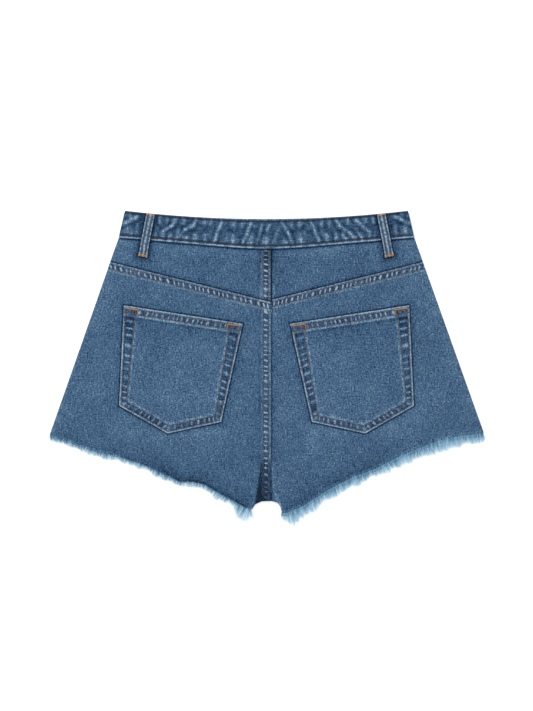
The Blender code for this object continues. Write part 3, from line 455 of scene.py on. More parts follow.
class Graph:
    """The node tree of a new material, with its Principled BSDF ready."""

    def __init__(self, name):
        self.material = bpy.data.materials.new(name)
        self.material.use_nodes = True
        self.tree = self.material.node_tree
        self.shader = self.tree.nodes["Principled BSDF"]

    def node(self, kind, settings=None, values=None, output=0):
        """Adds a node: its settings first, then the values or wires of its sockets. Returns one output."""
        made = self.tree.nodes.new(kind)
        for key, value in (settings or {}).items():
            if key == "stops":
                self.set_stops(made.color_ramp, value)
            else:
                setattr(made, key, value)
        for key, value in (values or {}).items():
            self.feed(made.inputs[key], value)
        return Wire(self, made.outputs[output])

    def feed(self, socket, value):
        if isinstance(value, Wire):
            self.tree.links.new(value.socket, socket)
        else:
            socket.default_value = value

    def set_stops(self, ramp, stops):
        while len(ramp.elements) < len(stops):
            ramp.elements.new(1.0)
        for element, (position, colour) in zip(ramp.elements, stops):
            element.position = position
            element.color = (*colour, 1.0)

    def math(self, operation, *values):
        return self.node("ShaderNodeMath", {"operation": operation}, dict(enumerate(values)))

    def attribute(self, name, output="Fac"):
        return self.node("ShaderNodeAttribute", {"attribute_name": name}, output=output)

    def object_place(self):
        return self.node("ShaderNodeTexCoord", output="Object")

    def parts(self, vector):
        """The three numbers of a vector."""
        split = self.node("ShaderNodeSeparateXYZ", None, {0: vector}).socket.node
        return [Wire(self, output) for output in split.outputs]

    def noise(self, vector, across, along, detail=2.0):
        """Noise of about -1 to 1, with across and along cells to the metre."""
        cells = {0: vector, 1: (across, along, across)}
        scaled = self.node("ShaderNodeVectorMath", {"operation": "MULTIPLY"}, cells)
        values = {"Vector": scaled, "Scale": 1.0, "Detail": detail, "Roughness": 0.55}
        return (self.node("ShaderNodeTexNoise", {"noise_dimensions": "3D"}, values) - 0.5) * 4.0

    def mix(self, share, first, second):
        values = {0: share, 6: opaque(first), 7: opaque(second)}
        return self.node("ShaderNodeMix", {"data_type": "RGBA"}, values, output=2)

    def graded(self, share, stops):
        """The colour at a share of the way through stops of place and colour."""
        return self.node("ShaderNodeValToRGB", {"stops": stops}, {"Fac": share})

    def finish(self, colour, roughness, height=None, depth=0.0, shine=0.12, metallic=0.0):
        """Feeds the shader: colour, roughness, a bump of depth metres, and values that are even all over."""
        inputs = self.shader.inputs
        self.feed(inputs["Base Color"], opaque(colour))
        self.feed(inputs["Roughness"], roughness)
        inputs["Specular IOR Level"].default_value = shine
        inputs["Metallic"].default_value = metallic
        if height is not None:
            bump = {"Strength": 1.0, "Distance": depth, "Height": height}
            self.feed(inputs["Normal"], self.node("ShaderNodeBump", None, bump))
        return self.material

    def glow(self, colour, strength):
        """Lets the surface give off a little of its colour."""
        self.feed(self.shader.inputs["Emission Color"], opaque(colour))
        self.shader.inputs["Emission Strength"].default_value = strength


def opaque(colour):
    """A colour with full alpha, or the wire as it is."""
    return colour if isinstance(colour, Wire) else (*colour, 1.0)


def sine(value):
    """Sine of a value in radians."""
    return value.graph.math("SINE", value) if isinstance(value, Wire) else np.sin(value)


def limit(value):
    """value held between 0 and 1."""
    if isinstance(value, Wire):
        return value.graph.math("MINIMUM", value.graph.math("MAXIMUM", value, 0.0), 1.0)
    return np.clip(value, 0.0, 1.0)


def bell(distance, half):
    """1 at no distance, falling evenly to nearly 0 at twice half."""
    share = distance / half
    if isinstance(distance, Wire):
        return distance.graph.math("EXPONENT", -(share * share))
    return np.exp(-(share**2))


def smooth(value):
    """Rises from 0 at 0 to 1 at 1 as 3 squares less 2 cubes, and stays there."""
    value = limit(value)
    return value * value * (3.0 - 2.0 * value)


def ramp(value, start, run):
    """Rises smoothly from 0 at start to 1 a run later, both in millimetres."""
    return smooth((value - start * MM) / (run * MM))


def fall(value, start, run):
    """Falls smoothly from 1 at start to 0 a run later."""
    return 1.0 - smooth((value - start) / run)


def lines(distance, *marks):
    """Sum of bells across a distance. A mark is its tone, its place and its half width in millimetres."""
    return sum(tone * bell(distance - at * MM, half * MM) for tone, at, half in marks)


def ripple(along, across):
    """Roping between two rows of stitching: slanted ridges, uneven in pitch and height, from -1 to 1.

    along is metres along the seam; across is 1 at the first row and 2 at the second.
    """
    turns = along / ROPE_PITCH + 0.20 * across + 0.20 * sine(along * 210.0) + 0.30 * sine(along * 61.0 + 1.3)
    height = 0.78 + 0.22 * sine(along * 97.0 + 0.7)
    crest = limit(sine(turns * (2.0 * np.pi)) * 0.92 + 0.16)
    return (crest * crest * 1.6 - 0.45) * height


def rope_window(across):
    """1 between the rows, and 0 on and outside them."""
    away = (across - 1.5) * 2.0
    return limit((1.0 - away * away) * 1.6)


def seam_place(distance, rows):
    """Place across a seam: 0 at its edge, 1 at the first row, 2 at the second and 3 a little past it."""
    first, second = rows
    between_rows = 1.0 + (distance - first) / (second - first)
    past = 2.0 + (distance - second) / SEAM_PAST
    inner = np.where(distance < second, between_rows, past)
    return np.clip(np.where(distance < first, distance / first, inner), 0.0, 4.0)


def seam_relief(along, across, distance, rows):
    """Height of a twice-sewn seam: its roping, and a groove under each row."""
    grooves = sum(bell(distance - row, GROOVE_HALF) for row in rows)
    return ROPE_RISE * ripple(along, across) * rope_window(across) - GROOVE * grooves


# Plan and levels


def band_edge(x, sag, lower):
    """Drop of one edge of the waistband: a parabola through both side corners, the lower edge with a bow."""
    drop, half = (BAND_DROP, BAND_LOW_HALF) if lower else (0.0, WAIST_HALF)
    bow = lower * sag[2] * (np.exp(-((x / BOW_HALF) ** 2)) - BOW_RISE * (1.0 - (x / half) ** 8))
    return drop + sag[lower] * (1.0 - (x / half) ** 2) + bow


def yoke_seam(a):
    """Drop of the yoke's seam, a straight line that rises towards the side."""
    return SEAM_DROP - SEAM_SLOPE * a


def side_line(v):
    """Half the width of the shorts at drop v below the waistband."""
    return BAND_LOW_HALF + SIDE_SLOPE * (v - BAND_DROP)


def folds(x, v, creases):
    """Sum of soft folds: each is a bell across the line between its ends."""
    height = np.zeros(np.broadcast(x, v).shape)
    for x0, v0, width0, height0, x1, v1, width1, height1 in creases:
        along, away = line_place(x, v, (x0, v0), (x1, v1))
        height += (height0 + along * (height1 - height0)) * bell(away, width0 + along * (width1 - width0))
    return height


def line_place(x, v, start, end):
    """Share along the line between two points, held at its ends, and the distance from it."""
    (x0, v0), (x1, v1) = start, end
    length_squared = (x1 - x0) ** 2 + (v1 - v0) ** 2
    along = limit(((x - x0) * (x1 - x0) + (v - v0) * (v1 - v0)) / length_squared)
    return along, np.hypot(x - x0 - along * (x1 - x0), v - v0 - along * (v1 - v0))


def line_frame(a, v, ends):
    """Distance to one side of a line between two ends, length along it, and the line's own length."""
    (a0, v0), (a1, v1) = ends
    length = np.hypot(a1 - a0, v1 - v0)
    beside = ((a - a0) * (v1 - v0) - (v - v0) * (a1 - a0)) / length
    return beside, ((a - a0) * (a1 - a0) + (v - v0) * (v1 - v0)) / length, length


def back_level(x, v):
    """Outer face of the back: level, a slow wave, the bump over the button, and the folds."""
    bump = BUTTON_BUMP * fall(np.hypot(x, v - BUTTON_DROP), *BUTTON_BUMP_REACH)
    wave = np.sin(2.0 * np.pi * x / WAVE_LENGTHS[0]) * np.cos(2.0 * np.pi * v / WAVE_LENGTHS[1])
    return BACK_LEVEL + WAVE_HEIGHT * wave + bump + folds(x, v, FOLDS)


def front_level(x, v):
    """Outer face of the front: near the surface, but lifted over the button and the two belt loops."""
    over_button = BUTTON_LIFT * fall(np.hypot(x, v - BUTTON_DROP), *BUTTON_LIFT_REACH)
    _, from_loop = line_place(np.abs(x), v, *FRONT_LOOP)
    return np.maximum(over_button, LOOP_LIFT * fall(from_loop, *LOOP_LIFT_REACH))


def fold_rise(inset, fold):
    """Share of the full height at a distance in from a folded edge: a quarter round."""
    return np.sqrt(limit(1.0 - (1.0 - np.minimum(inset / fold, 1.0)) ** 2))


def turned(level, rise, end, v):
    """Levels of a sheet that turns at its folded edges to the level end, a little uneven along the seam."""
    seam = end + SEAM_WAVE[0] * np.sin(2.0 * np.pi * v / SEAM_WAVE[1])
    return seam + (level - seam) * rise


def pocket_place(x, v, sign):
    """Distances inside the pocket's edges and lengths along them, stacked in the order of the edges."""
    edges = zip(POCKET, np.roll(POCKET, -1, axis=0))
    places = [line_frame(sign * x, v, ends)[:2] for ends in edges]
    return [np.stack(values) for values in zip(*places)]


# Meshes


def vectors(first, second, third):
    """Three grids stacked as one grid of vectors."""
    return np.stack(np.broadcast_arrays(first, second, third), axis=-1).astype(float)


def placed(x, v, z):
    """Points from plan positions and levels."""
    return vectors(x, WAIST_LINE - v, z)


def stations(stops, cells):
    """Positions from stop to stop, with the given number of even cells between each two."""
    runs = [np.linspace(p, q, n + 1)[:-1] for p, q, n in zip(stops[:-1], stops[1:], cells)]
    return np.concatenate([*runs, [stops[-1]]])


def make_mesh(name, points, groups):
    """A smooth mesh from points and face groups, each an array with one face a row."""
    mesh = bpy.data.meshes.new(name)
    points = points.reshape(-1, 3)
    mesh.vertices.add(len(points))
    mesh.vertices.foreach_set("co", points.ravel())
    corners = np.concatenate([group.ravel() for group in groups])
    sizes = np.concatenate([np.full(len(group), group.shape[1]) for group in groups])
    mesh.loops.add(len(corners))
    mesh.loops.foreach_set("vertex_index", corners)
    mesh.polygons.add(len(sizes))
    mesh.polygons.foreach_set("loop_start", np.cumsum(sizes) - sizes)
    mesh.update(calc_edges=True)
    mesh.shade_smooth()
    return mesh


def set_attribute(mesh, name, values):
    """Stores one number or one vector a point."""
    kind, key = ("FLOAT_VECTOR", "vector") if values.ndim > 1 else ("FLOAT", "value")
    mesh.attributes.new(name, kind, "POINT").data.foreach_set(key, values.ravel().astype(np.float32))


def grid_faces(rows, columns, first=0):
    """Quads of a grid of points numbered row by row; they face up where columns run to +X."""
    index = first + np.arange(rows * columns).reshape(rows, columns)
    quads = np.stack([index[:-1, :-1], index[1:, :-1], index[1:, 1:], index[:-1, 1:]], axis=-1)
    return index, quads.reshape(-1, 4)


def wall_faces(rows, columns, inner_rows, inner_columns):
    """Faces of a closed wall: the outer grid, the inner grid turned over, and the rims that join them."""
    outer, outer_quads = grid_faces(rows, columns)
    inner, inner_quads = grid_faces(inner_rows, inner_columns, rows * columns)
    cell = (rows - 1) // (inner_rows - 1)
    loops = (
        (outer[0], inner[0]),
        (outer[:, -1], inner[:, -1]),
        (outer[-1, ::-1], inner[-1, ::-1]),
        (outer[::-1, 0], inner[::-1, 0]),
    )
    rims = []
    for fine, coarse in loops:
        run = [fine[start : start + len(fine) - cell : cell] for start in range(cell)]
        rims.append(np.column_stack([*run, fine[cell::cell], coarse[1:], coarse[:-1]]))
    return [outer_quads, inner_quads[:, ::-1], np.concatenate(rims)]


def inner_face(base, wall):
    """Every CELL-th point of base, moved in along its normal by wall."""
    down, across = np.gradient(base, axis=0), np.gradient(base, axis=1)
    normal = np.cross(down, across)
    normal /= np.linalg.norm(normal, axis=-1, keepdims=True) + 1e-12
    return (base - wall * normal)[::CELL, ::CELL]


def cloth(name, cut, outer, base, wall, shade, seam=None):
    """A wall of cloth. outer is its detailed outer face, and base the plain form that gives the inner face.

    Its attributes: cut, the place on the cut cloth; shade; seam, as (along, across, 1 where there is a seam);
    and inside, 1 on the inner face. Shade is how far a place is from plain denim, from -1, the darkest
    painted shade in a crease or beside an edge, to 1, a fully faded, worn ridge.
    """
    inner = inner_face(base, wall)
    groups = wall_faces(*outer.shape[:2], *inner.shape[:2])
    mesh = make_mesh(name, np.concatenate([outer.reshape(-1, 3), inner.reshape(-1, 3)]), groups)
    seam = np.zeros_like(outer) if seam is None else seam
    layers = {"cut": cut, "shade": shade, "seam": seam, "inside": np.zeros_like(shade)}
    for layer, values in layers.items():
        inside = values[::CELL, ::CELL] + (layer == "inside")
        tail = values.shape[2:]
        set_attribute(mesh, layer, np.concatenate([values.reshape(-1, *tail), inside.reshape(-1, *tail)]))
    return mesh


def add(name, data):
    """A new object in the scene."""
    made = bpy.data.objects.new(name, data)
    bpy.context.scene.collection.objects.link(made)
    return made


def place(mesh, finish, slot, *nodes):
    """Adds a mesh as a piece of the shorts, of the named finish, that stands for the given solids."""
    piece = add(mesh.name, mesh)
    mesh.materials.append(bpy.data.materials.get(finish) or FINISHES[finish](finish))
    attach(piece, BODY)
    if nodes:
        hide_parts(*nodes)
    return piece


def lay(mesh, finish, slot, node):
    """Adds a sheet of cloth."""
    piece = place(mesh, finish, slot, node)


def lay_denim(name, node, plan, plain, detail, cut, turn=None, wall=None):
    """A laid sheet of washed denim that stands for the solid node.

    plan is (x, v), plain its level there and detail its relief, shade and seam. turn is (rise, end level)
    where its sides fold down.
    """
    x, v = plan
    relief, shade, seam = detail
    levels = (plain, plain + relief)
    if turn:
        levels = [turned(level, *turn, v) for level in levels]
    base, outer = (placed(x, v, level) for level in levels)
    wall = wall or bpy.context.scene.shorts_sizes.wall
    mesh = cloth(name, vectors(*cut), outer, base, wall, shade, seam)
    lay(mesh, "washed denim", "denim", node)


# Materials


def tint(colour, *factors):
    """A colour times one factor a channel."""
    return [value * factor for value, factor in zip(colour, factors)]


def between(first, second, share):
    """The colour at a share of the way between two."""
    return [(1.0 - share) * p + share * q for p, q in zip(first, second)]


def denim(name, base, contrast, blotch, cells):
    """Washed denim: a mottle of faded and dark yarns, long slubs along the warp, and a fine twill line."""
    colours = bpy.context.scene.shorts_colours
    graph = Graph(name)
    cut = graph.attribute("cut", "Vector")
    along, across, sewn = graph.parts(graph.attribute("seam", "Vector"))
    weft, warp, _ = graph.parts(cut)

    mottle = graph.noise(cut, 540.0, 490.0)
    slub = graph.noise(cut, 700.0, 95.0)
    grain = graph.noise(cut, 1150.0, 900.0, 1.0)
    patch = graph.noise(cut, 190.0, 120.0)
    cloud = graph.noise(cut, 30.0, 22.0)
    twill = sine((weft + warp * TWILL_SLOPE) * (2.0 * np.pi / TWILL_PITCH))
    weave = mottle * 0.88 + slub * 0.40 + grain * 0.42 + patch * 0.17 + cloud * 0.17 + twill * 0.12
    weave = weave * (1.0 - weave * 0.17)

    # Marks of a seam: ridge, rope and past are wear; grooves is painted shade under the rows, and edge a
    # painted dark line along the folded edge
    ridge = bell(across - 0.40, 0.36) * 0.42
    grooves = (bell(across - 1.0, 0.20) + bell(across - 2.0, 0.18)) * -0.55
    rope = ripple(along, across) * 1.05 * rope_window(across)
    past = bell(across - 2.7, 0.55) * 0.26
    edge = bell(across, 0.10) * -0.4
    # The shade attribute, with its painted shade and wear, plus the seam's marks
    marked = graph.attribute("shade") + (ridge + grooves + rope + past + edge) * sewn

    lightness = weave * (contrast / 3.0) + marked + graph.noise(cut, cells, cells * 0.8) * blotch
    stops = (
        (0.0, colours.shade_and_crease),
        (0.14, tint(base, 0.19, 0.29, 0.39)),
        (0.32, tint(base, 0.44, 0.54, 0.64)),
        (0.50, base),
        (0.66, tint(base, 1.36, 1.27, 1.20)),
        (0.82, between(tint(base, 1.85, 1.62, 1.45), colours.faded, 0.40)),
        (1.0, colours.faded),
    )
    face = graph.graded(limit(lightness * 0.5 + 0.5), stops)
    colour = graph.mix(graph.attribute("inside"), face, colours.inside)
    height = grain * 0.3 + mottle * 0.35 + slub * 0.25 + twill * 0.5
    return graph.finish(colour, 0.88, height, 0.00012)


def plain_denim(name):
    """Denim of the panels, yokes and pockets."""
    return denim(name, bpy.context.scene.shorts_colours.denim, 2.38, 0.03, 150.0)


def band_denim(name):
    """Denim of the waistband and belt loops: less contrast, more blotched."""
    return denim(name, bpy.context.scene.shorts_colours.band, 1.8, 0.30, 240.0)


def thread_cotton(name):
    """Sewing thread, brown to tan to orange by the tone of its row, with a twist along it."""
    colours = bpy.context.scene.shorts_colours
    graph = Graph(name)
    place_in = graph.object_place()
    fleck = graph.noise(place_in, 900.0, 900.0, 1.0)
    stops = ((0.0, colours.brown), (0.5, colours.tan), (1.0, colours.orange))
    colour = graph.graded(graph.attribute("tone") + fleck * 0.12, stops)
    return graph.finish(colour, 0.62, graph.noise(place_in, 2600.0, 2600.0, 1.0), 0.00005)


def fray_cotton(name):
    """Frayed yarn: blue at its root and near white at its tip, each yarn with a tone of its own."""
    colours = bpy.context.scene.shorts_colours
    graph = Graph(name)
    stops = ((0.0, colours.fray_root), (0.40, colours.fray_middle), (1.0, colours.fray_tip))
    colour = graph.graded(limit(graph.attribute("tip") + graph.attribute("tone") * 0.34), stops)
    # A little glow of the yarn's own colour: painted light that stands in for light passing through the thin
    # fibres
    graph.glow(colour, 0.22)
    return graph.finish(colour, 0.92)


def aged_brass(name):
    """Brass with dark tarnish in soft clouds, which is rougher than the bright metal."""
    colours = bpy.context.scene.shorts_colours
    graph = Graph(name)
    place_in = graph.object_place()
    tarnish = limit(graph.noise(place_in, 420.0, 420.0, 4.0) * 0.5 + 0.45)
    colour = graph.mix(tarnish, tint(colours.brass, 0.55, 0.55, 0.55), colours.brass)
    scratches = graph.noise(place_in, 2400.0, 700.0)
    return graph.finish(colour, 0.30 + (1.0 - tarnish) * 0.3, scratches, 0.00003, shine=0.5, metallic=1.0)


def zip_cotton(name):
    """Dark cotton tape with a herringbone rib."""
    colours = bpy.context.scene.shorts_colours
    graph = Graph(name)
    across, along, _ = graph.parts(graph.object_place())
    rib = sine(across * 5200.0) * sine(along * 3100.0 + sine(across * 900.0) * 2.0)
    colour = graph.mix(limit(rib * 0.3 + 0.4), tint(colours.tape, 0.6, 0.6, 0.6), colours.tape)
    return graph.finish(colour, 0.85, rib, 0.0001)


FINISHES = {
    "washed denim": plain_denim,
    "waistband denim": band_denim,
    "sewing thread": thread_cotton,
    "frayed yarn": fray_cotton,
    "aged brass": aged_brass,
    "zip tape": zip_cotton,
}


# Cloth of the back


def fold_columns(fold):
    """Insets and rises of the columns that turn in at a folded edge: even steps of a quarter round."""
    turns = np.linspace(np.pi / 2.0, 0.0, 2 * CELL + 1)[1:]
    return fold * (1.0 - np.cos(turns)), np.sin(turns)


def ruled(start, end, share):
    """A grid of straight lines from the places of one edge to those of the other."""
    return [p + share * (q - p) for p, q in zip(start, end)]


def leg_plan(upper, hem, top_side, fold, column_cells, row_cells):
    """Plan of a leg panel on one half: (a, v, distance from the upper edge, rise).

    Columns run straight from the upper edge to the hem, and the last ones turn in at the side; the rows near
    the hem turn in too, up to the leg's corner. Past it the cut edge is ragged.
    """
    insets, rises = fold_columns(fold)
    low = stations((hem[0, 0], LEG_CORNER, HEM_HALF - fold), column_cells)
    spread = (low - LEG_CORNER) / (HEM_HALF - fold - LEG_CORNER)
    top = np.where(low < LEG_CORNER, low, LEG_CORNER + spread * (top_side - fold - LEG_CORNER))
    low_a = np.concatenate([low, HEM_HALF - insets])
    top_a = np.concatenate([top, top_side - insets])
    column_rise = np.concatenate([np.ones(len(low)), rises])
    folded = smooth((LEG_CORNER - low_a) / 0.0020)
    ragged = RAGGED * (1.0 - folded) * (np.sin(low_a * 2300.0) + np.sin(low_a * 3700.0 + 1.0)) / 2.0
    low_v = np.interp(low_a, hem[:, 0], hem[:, 1]) + ragged
    top_v = upper(top_a)
    length = np.hypot(low_a - top_a, low_v - top_v)
    near = np.linspace(0.0, BESIDE_SEAM, 3 * CELL + 1)[:, None] + 0.0 * length
    turns = np.linspace(np.pi / 2.0, 0.0, 2 * CELL + 1)[:, None]
    low_up = fold * (folded * (1.0 - np.cos(turns)) + (1.0 - folded) * turns / (np.pi / 2.0))
    low_rise = 1.0 + folded * (np.sin(turns) - 1.0)
    shares = np.linspace(0.0, 1.0, row_cells + 1)[1:-1, None]
    middle = near[-1] + shares * (length - low_up[0] - near[-1])
    down = np.concatenate([near, middle, length - low_up])
    rise = np.concatenate([np.ones((len(near) + len(middle), len(length))), low_rise]) * column_rise
    return *ruled((top_a, top_v), (low_a, low_v), down / length), down, rise


def mirrored(sign, *arrays):
    """Columns in the order that makes x grow."""
    return [values[:, ::-1] if sign < 0 else values for values in arrays]


def centre_tones(x, v):
    """Worn and dark lengths along the centre seam; its narrow dark lines are painted shadow."""
    return sum(
        tone * bell(x - at, half) * smooth((v - start) / 0.004 + 0.5) * smooth((end - v) / 0.004 + 0.5)
        for at, half, start, end, tone in CENTRE_TONES
    )


def broad_patches(across, v, patches):
    """Sum of wide soft patches, each a bell both ways about its middle."""
    return sum(
        tone * bell(across - middle, half) * bell(v - drop, high)
        for middle, drop, half, high, tone in patches
    )


def side_wear(a, v):
    """A paler strip along the side."""
    return 0.10 * smooth((a - side_line(v) + SIDE_STRIP) / SIDE_STRIP)


def centre_rows(v):
    """The centre seam's rows, which close up towards the crotch."""
    near = ramp(v, 312, 45)
    return CENTRE_ROWS[0] + 0.0006 * near, CENTRE_ROWS[1] - 0.0012 * near


def centre_fell(x, sign):
    """Rise of the felled centre seam, which lies on the left half."""
    return FELL_RISE * smooth((x + CENTRE_FELL_LEFT + FELL_END) / FELL_END) * (sign < 0)


def back_detail(x, v, sign):
    """(relief, shade, seam) of the back panels: the yoke seam, the centre seam, creases and shadows."""
    a = sign * x
    from_yoke = (v - yoke_seam(a)) / SEAM_SLANT
    along = a * SEAM_SLANT + 0.37 * (sign > 0)
    across = seam_place(from_yoke, YOKE_ROWS)
    relief = seam_relief(along, across, from_yoke, YOKE_ROWS)
    sewn = 1.0 * (from_yoke < SEAM_REACH)
    if sign < 0:
        from_centre, rows = CENTRE_EDGE - x, centre_rows(v)
        centre_across = seam_place(from_centre, rows)
        on_centre = (from_centre < SEAM_REACH) & (from_yoke > FELL_WIDTH - 0.0001)
        relief = np.where(on_centre, 0.7 * seam_relief(v, centre_across, from_centre, rows), relief)
        along = np.where(on_centre, v, along)
        across = np.where(on_centre, centre_across, across)
        sewn = np.where(on_centre, 0.75, sewn)
    relief += folds(x, v, BACK_CREASES)
    return relief, back_shade(x, v, sign, from_yoke), vectors(along, across, sewn)


def back_shade(x, v, sign, from_yoke):
    """Painted shade by the pockets and the centre seam, in the crotch and above the hems; worn places and
    patches.
    """
    a = sign * x
    inside = pocket_place(x, v, sign)[0].min(axis=0)
    # Painted shadow round the pocket: a crisp dark line just outside its edge, and a soft one further out
    shade = 0.03 + lines(inside, (-1.20, -0.4, 1.1)) * (inside < 0.0006)
    shade += lines(np.minimum(inside, 0.0), (-0.10, -4, 4)) * (inside < 0.0)
    shade += (left_crotch(x, v, from_yoke) if sign < 0 else right_crotch(x, v))
    shade += centre_tones(x, v) + broad_patches(x, v, PANEL_PATCHES) + side_wear(a, v)
    return shade + hem_shade(a, v, sign)


def left_crotch(x, v, from_yoke):
    """Left half: painted shade by the fell and in the streaked recess, and a light spot under the yoke."""
    along = limit((v - 0.314) / 0.064)
    from_low = x + 0.0052 + 0.0092 * along**1.1
    streaks = 0.86 + 0.24 * np.sin((x + 0.22 * v) * 2300.0) * np.sin(v * 190.0 + 1.0)
    recess = smooth(along * 4.0) * smooth(from_low / 0.0014 + 0.5) * smooth((-0.0030 - x) / 0.0012 + 0.5)
    return (
        lines(x, (-0.16, -8.5, 2.8)) * (from_yoke > 0.012)
        + lines(np.hypot(x - 0.0010, v - 0.1240), (0.35, 0, 5.2))
        + lines(from_low, (0.15, -4.5, 2.2)) * smooth(along * 1.5 - 0.2)
        - (0.72 + 0.42 * along) * streaks * recess
        - 0.52 * ramp(v, 318, 35) * ramp(x, -3.2, 1)
    )


def right_crotch(x, v):
    """Right half: painted shadow by the fell, and a painted highlight on the ridge that turns out to the leg.
    """
    from_ridge = x - np.interp(v, *CROTCH_RIDGE)
    beside_fell = lines(x - CENTRE_EDGE, (-0.60, 0, 1), (-0.05, 4, 4))
    return beside_fell + lines(from_ridge, (0.40, 0, 1.7)) * ramp(v, 305, 20)


def hem_shade(a, v, sign):
    """Painted shade in a band and a line above a hem, and pale threads that lie loose along its cut."""
    hem = BACK_HEMS[sign]
    above = np.interp(a, hem[:, 0], hem[:, 1]) - v
    reach, end = (0.36, 135) if sign < 0 else (0.34, 120)
    strength = reach * (1.0 - ramp(a, end, 50)) * ramp(a, 18, 10)
    strength = strength * (0.75 + 0.25 * np.sin(a * 113.0) * np.sin(a * 51.0 + 1.0))
    tufts = 0.75 + 0.25 * np.sin(a * 900.0 + 2.0 * np.sin(a * 210.0)) * np.sin(a * 317.0)
    loose = limit(1.5 * np.sin(a * 1310.0 + 3.0 * np.sin(a * 290.0)) * np.sin(a * 431.0 + 1.0) + 0.15)
    shade = lines(above, (-1.0, 4.2, 4.2), (-0.45, 12, 9)) * strength + lines(above, (-0.07, 14, 14))
    if sign > 0:
        threads = 0.62 * loose * bell(above, 0.0016 + 0.0016 * tufts * loose)
        return shade + threads + lines(above, (-0.10, 0, 1.2))
    under = ramp(a, 20, 8) * (1.0 - ramp(a, 165, 40)) * (0.66 + 0.34 * np.sin(a * 71.0 + 0.6))
    under = under * (0.8 + 0.2 * tufts) * (1.40 - 0.55 * ramp(a, 90, 30))
    outer = ramp(a, 150, 50)
    threads = (0.35 + 0.55 * outer) * loose * bell(above, 0.0014 + 0.0010 * tufts * loose)
    dark = lines(above, (-0.42, 2, 1.8)) * bell(a - 0.063, 0.022) + lines(above, (-1.0, 1.6, 1.3)) * under
    return shade + threads + dark + lines(above, (-0.14, 6.5, 3)) * outer


def back_plain(x, v, sign, below_yoke):
    """Level of a back panel without its detail: the fells stand proud of the cloth."""
    fell = FELL_RISE * fall(below_yoke, FELL_WIDTH, FELL_END)
    return back_level(x, v) + np.maximum(fell, centre_fell(x, sign))


def panel_surface(x, v, sign):
    """Outer face of a back panel away from its folded edges."""
    return back_plain(x, v, sign, v - yoke_seam(sign * x)) + back_detail(x, v, sign)[0]


def back_panel(side, sign):
    """A back leg panel, from the yoke's seam down to its cut hem."""
    cells = (28 if sign < 0 else 16, 184)
    plan = leg_plan(yoke_seam, BACK_HEMS[sign], SEAM_SIDE, BACK_FOLD, cells, 43 * CELL)
    a, v, down, rise = mirrored(sign, *plan)
    x = sign * a
    lay_denim(
        f"denim_back_{side}",
        f"back_panel_{side}",
        (x, v),
        back_plain(x, v, sign, down),
        back_detail(x, v, sign),
        (x, v, 0.0),
        (rise, FOLD_LEVEL),
    )


def loop_flare(share):
    """Width of a belt loop as a share of its plain width: it spreads near its lower end."""
    return 1.0 + LOOP_FLARE * smooth((share - 0.88) / 0.10)


def loop_shadow(x, v):
    """Painted shadow beside and under the ends of the back belt loops."""
    shade = 0.0 * x
    for sign, ends in BACK_LOOPS.items():
        across, along, length = line_frame(sign * x, v, ends)
        away = np.maximum(np.abs(across) - LOOP_HALF * loop_flare(along / length), along - length)
        shade += lines(away, (-1.25, 0.4, 1)) + lines(away, (-0.38, 3.2, 3)) * (away > 0.0)
    return shade


def yoke_detail(x, v, sign):
    """(relief, shade, seam) of the yokes: the left one's centre fell, and shadows at the edges."""
    a = sign * x
    from_seam = (yoke_seam(a) - v) / SEAM_SLANT
    from_band = v - band_edge(x, BACK_SAG, 1)
    from_centre = CENTRE_EDGE - x
    across = seam_place(from_centre, CENTRE_ROWS)
    sewn = 1.0 * (sign < 0) * (from_centre < SEAM_REACH)
    relief = 0.8 * seam_relief(v, across, from_centre, CENTRE_ROWS) * sewn
    shade = lines(from_seam, (-0.95, 0.4, 1.2), (-0.12, 3, 3)) - 0.02
    shade += lines(from_band, (-0.95, 0.3, 1.2), (0.06, 6, 4))
    if sign > 0:
        shade += lines(-from_centre, (-0.60, 0, 1), (-0.06, 4, 3))
    else:
        shade += lines(x, (-0.30, -8.2, 2.4)) + lines(from_centre, (-1.0, 0, 0.6))
        shade = shade - 0.26 * (1.0 - ramp(from_band, 12, 6)) * ramp(x, -5.5, 1)
    shade += centre_tones(x, v) + broad_patches(x, v, YOKE_PATCHES) + side_wear(a, v) + loop_shadow(x, v)
    return relief, shade, vectors(v, across, sewn)


def yoke_surface(x, v, sign):
    """Outer face of a yoke: the back, the fell and its own relief."""
    return back_level(x, v) + centre_fell(x, sign) + yoke_detail(x, v, sign)[0]


def yoke(side, sign):
    """A yoke: columns run from the waistband down to the seam, and the last ones turn in at the side."""
    insets, rises = fold_columns(BACK_FOLD)
    inner = -CENTRE_EDGE if sign < 0 else CENTRE_EDGE + GAP
    top_a, low_a = (
        np.concatenate([stations((inner, 0.016, half - BACK_FOLD), YOKE_COLUMNS), half - insets])
        for half in (BAND_LOW_HALF, SEAM_SIDE)
    )
    column_rise = np.concatenate([np.ones(sum(YOKE_COLUMNS) + 1), rises])
    top, low = (top_a, band_edge(top_a, BACK_SAG, 1) + GAP), (low_a, yoke_seam(low_a) - GAP)
    share = np.linspace(0.0, 1.0, 12 * CELL + 1)[:, None]
    a, v, rise = mirrored(sign, *ruled(top, low, share), column_rise + 0.0 * share)
    x = sign * a
    lay_denim(
        f"denim_yoke_{side}",
        f"yoke_{side}",
        (x, v),
        back_level(x, v) + centre_fell(x, sign),
        yoke_detail(x, v, sign),
        (x + 0.6, v, 0.0),
        (rise, FOLD_LEVEL),
    )


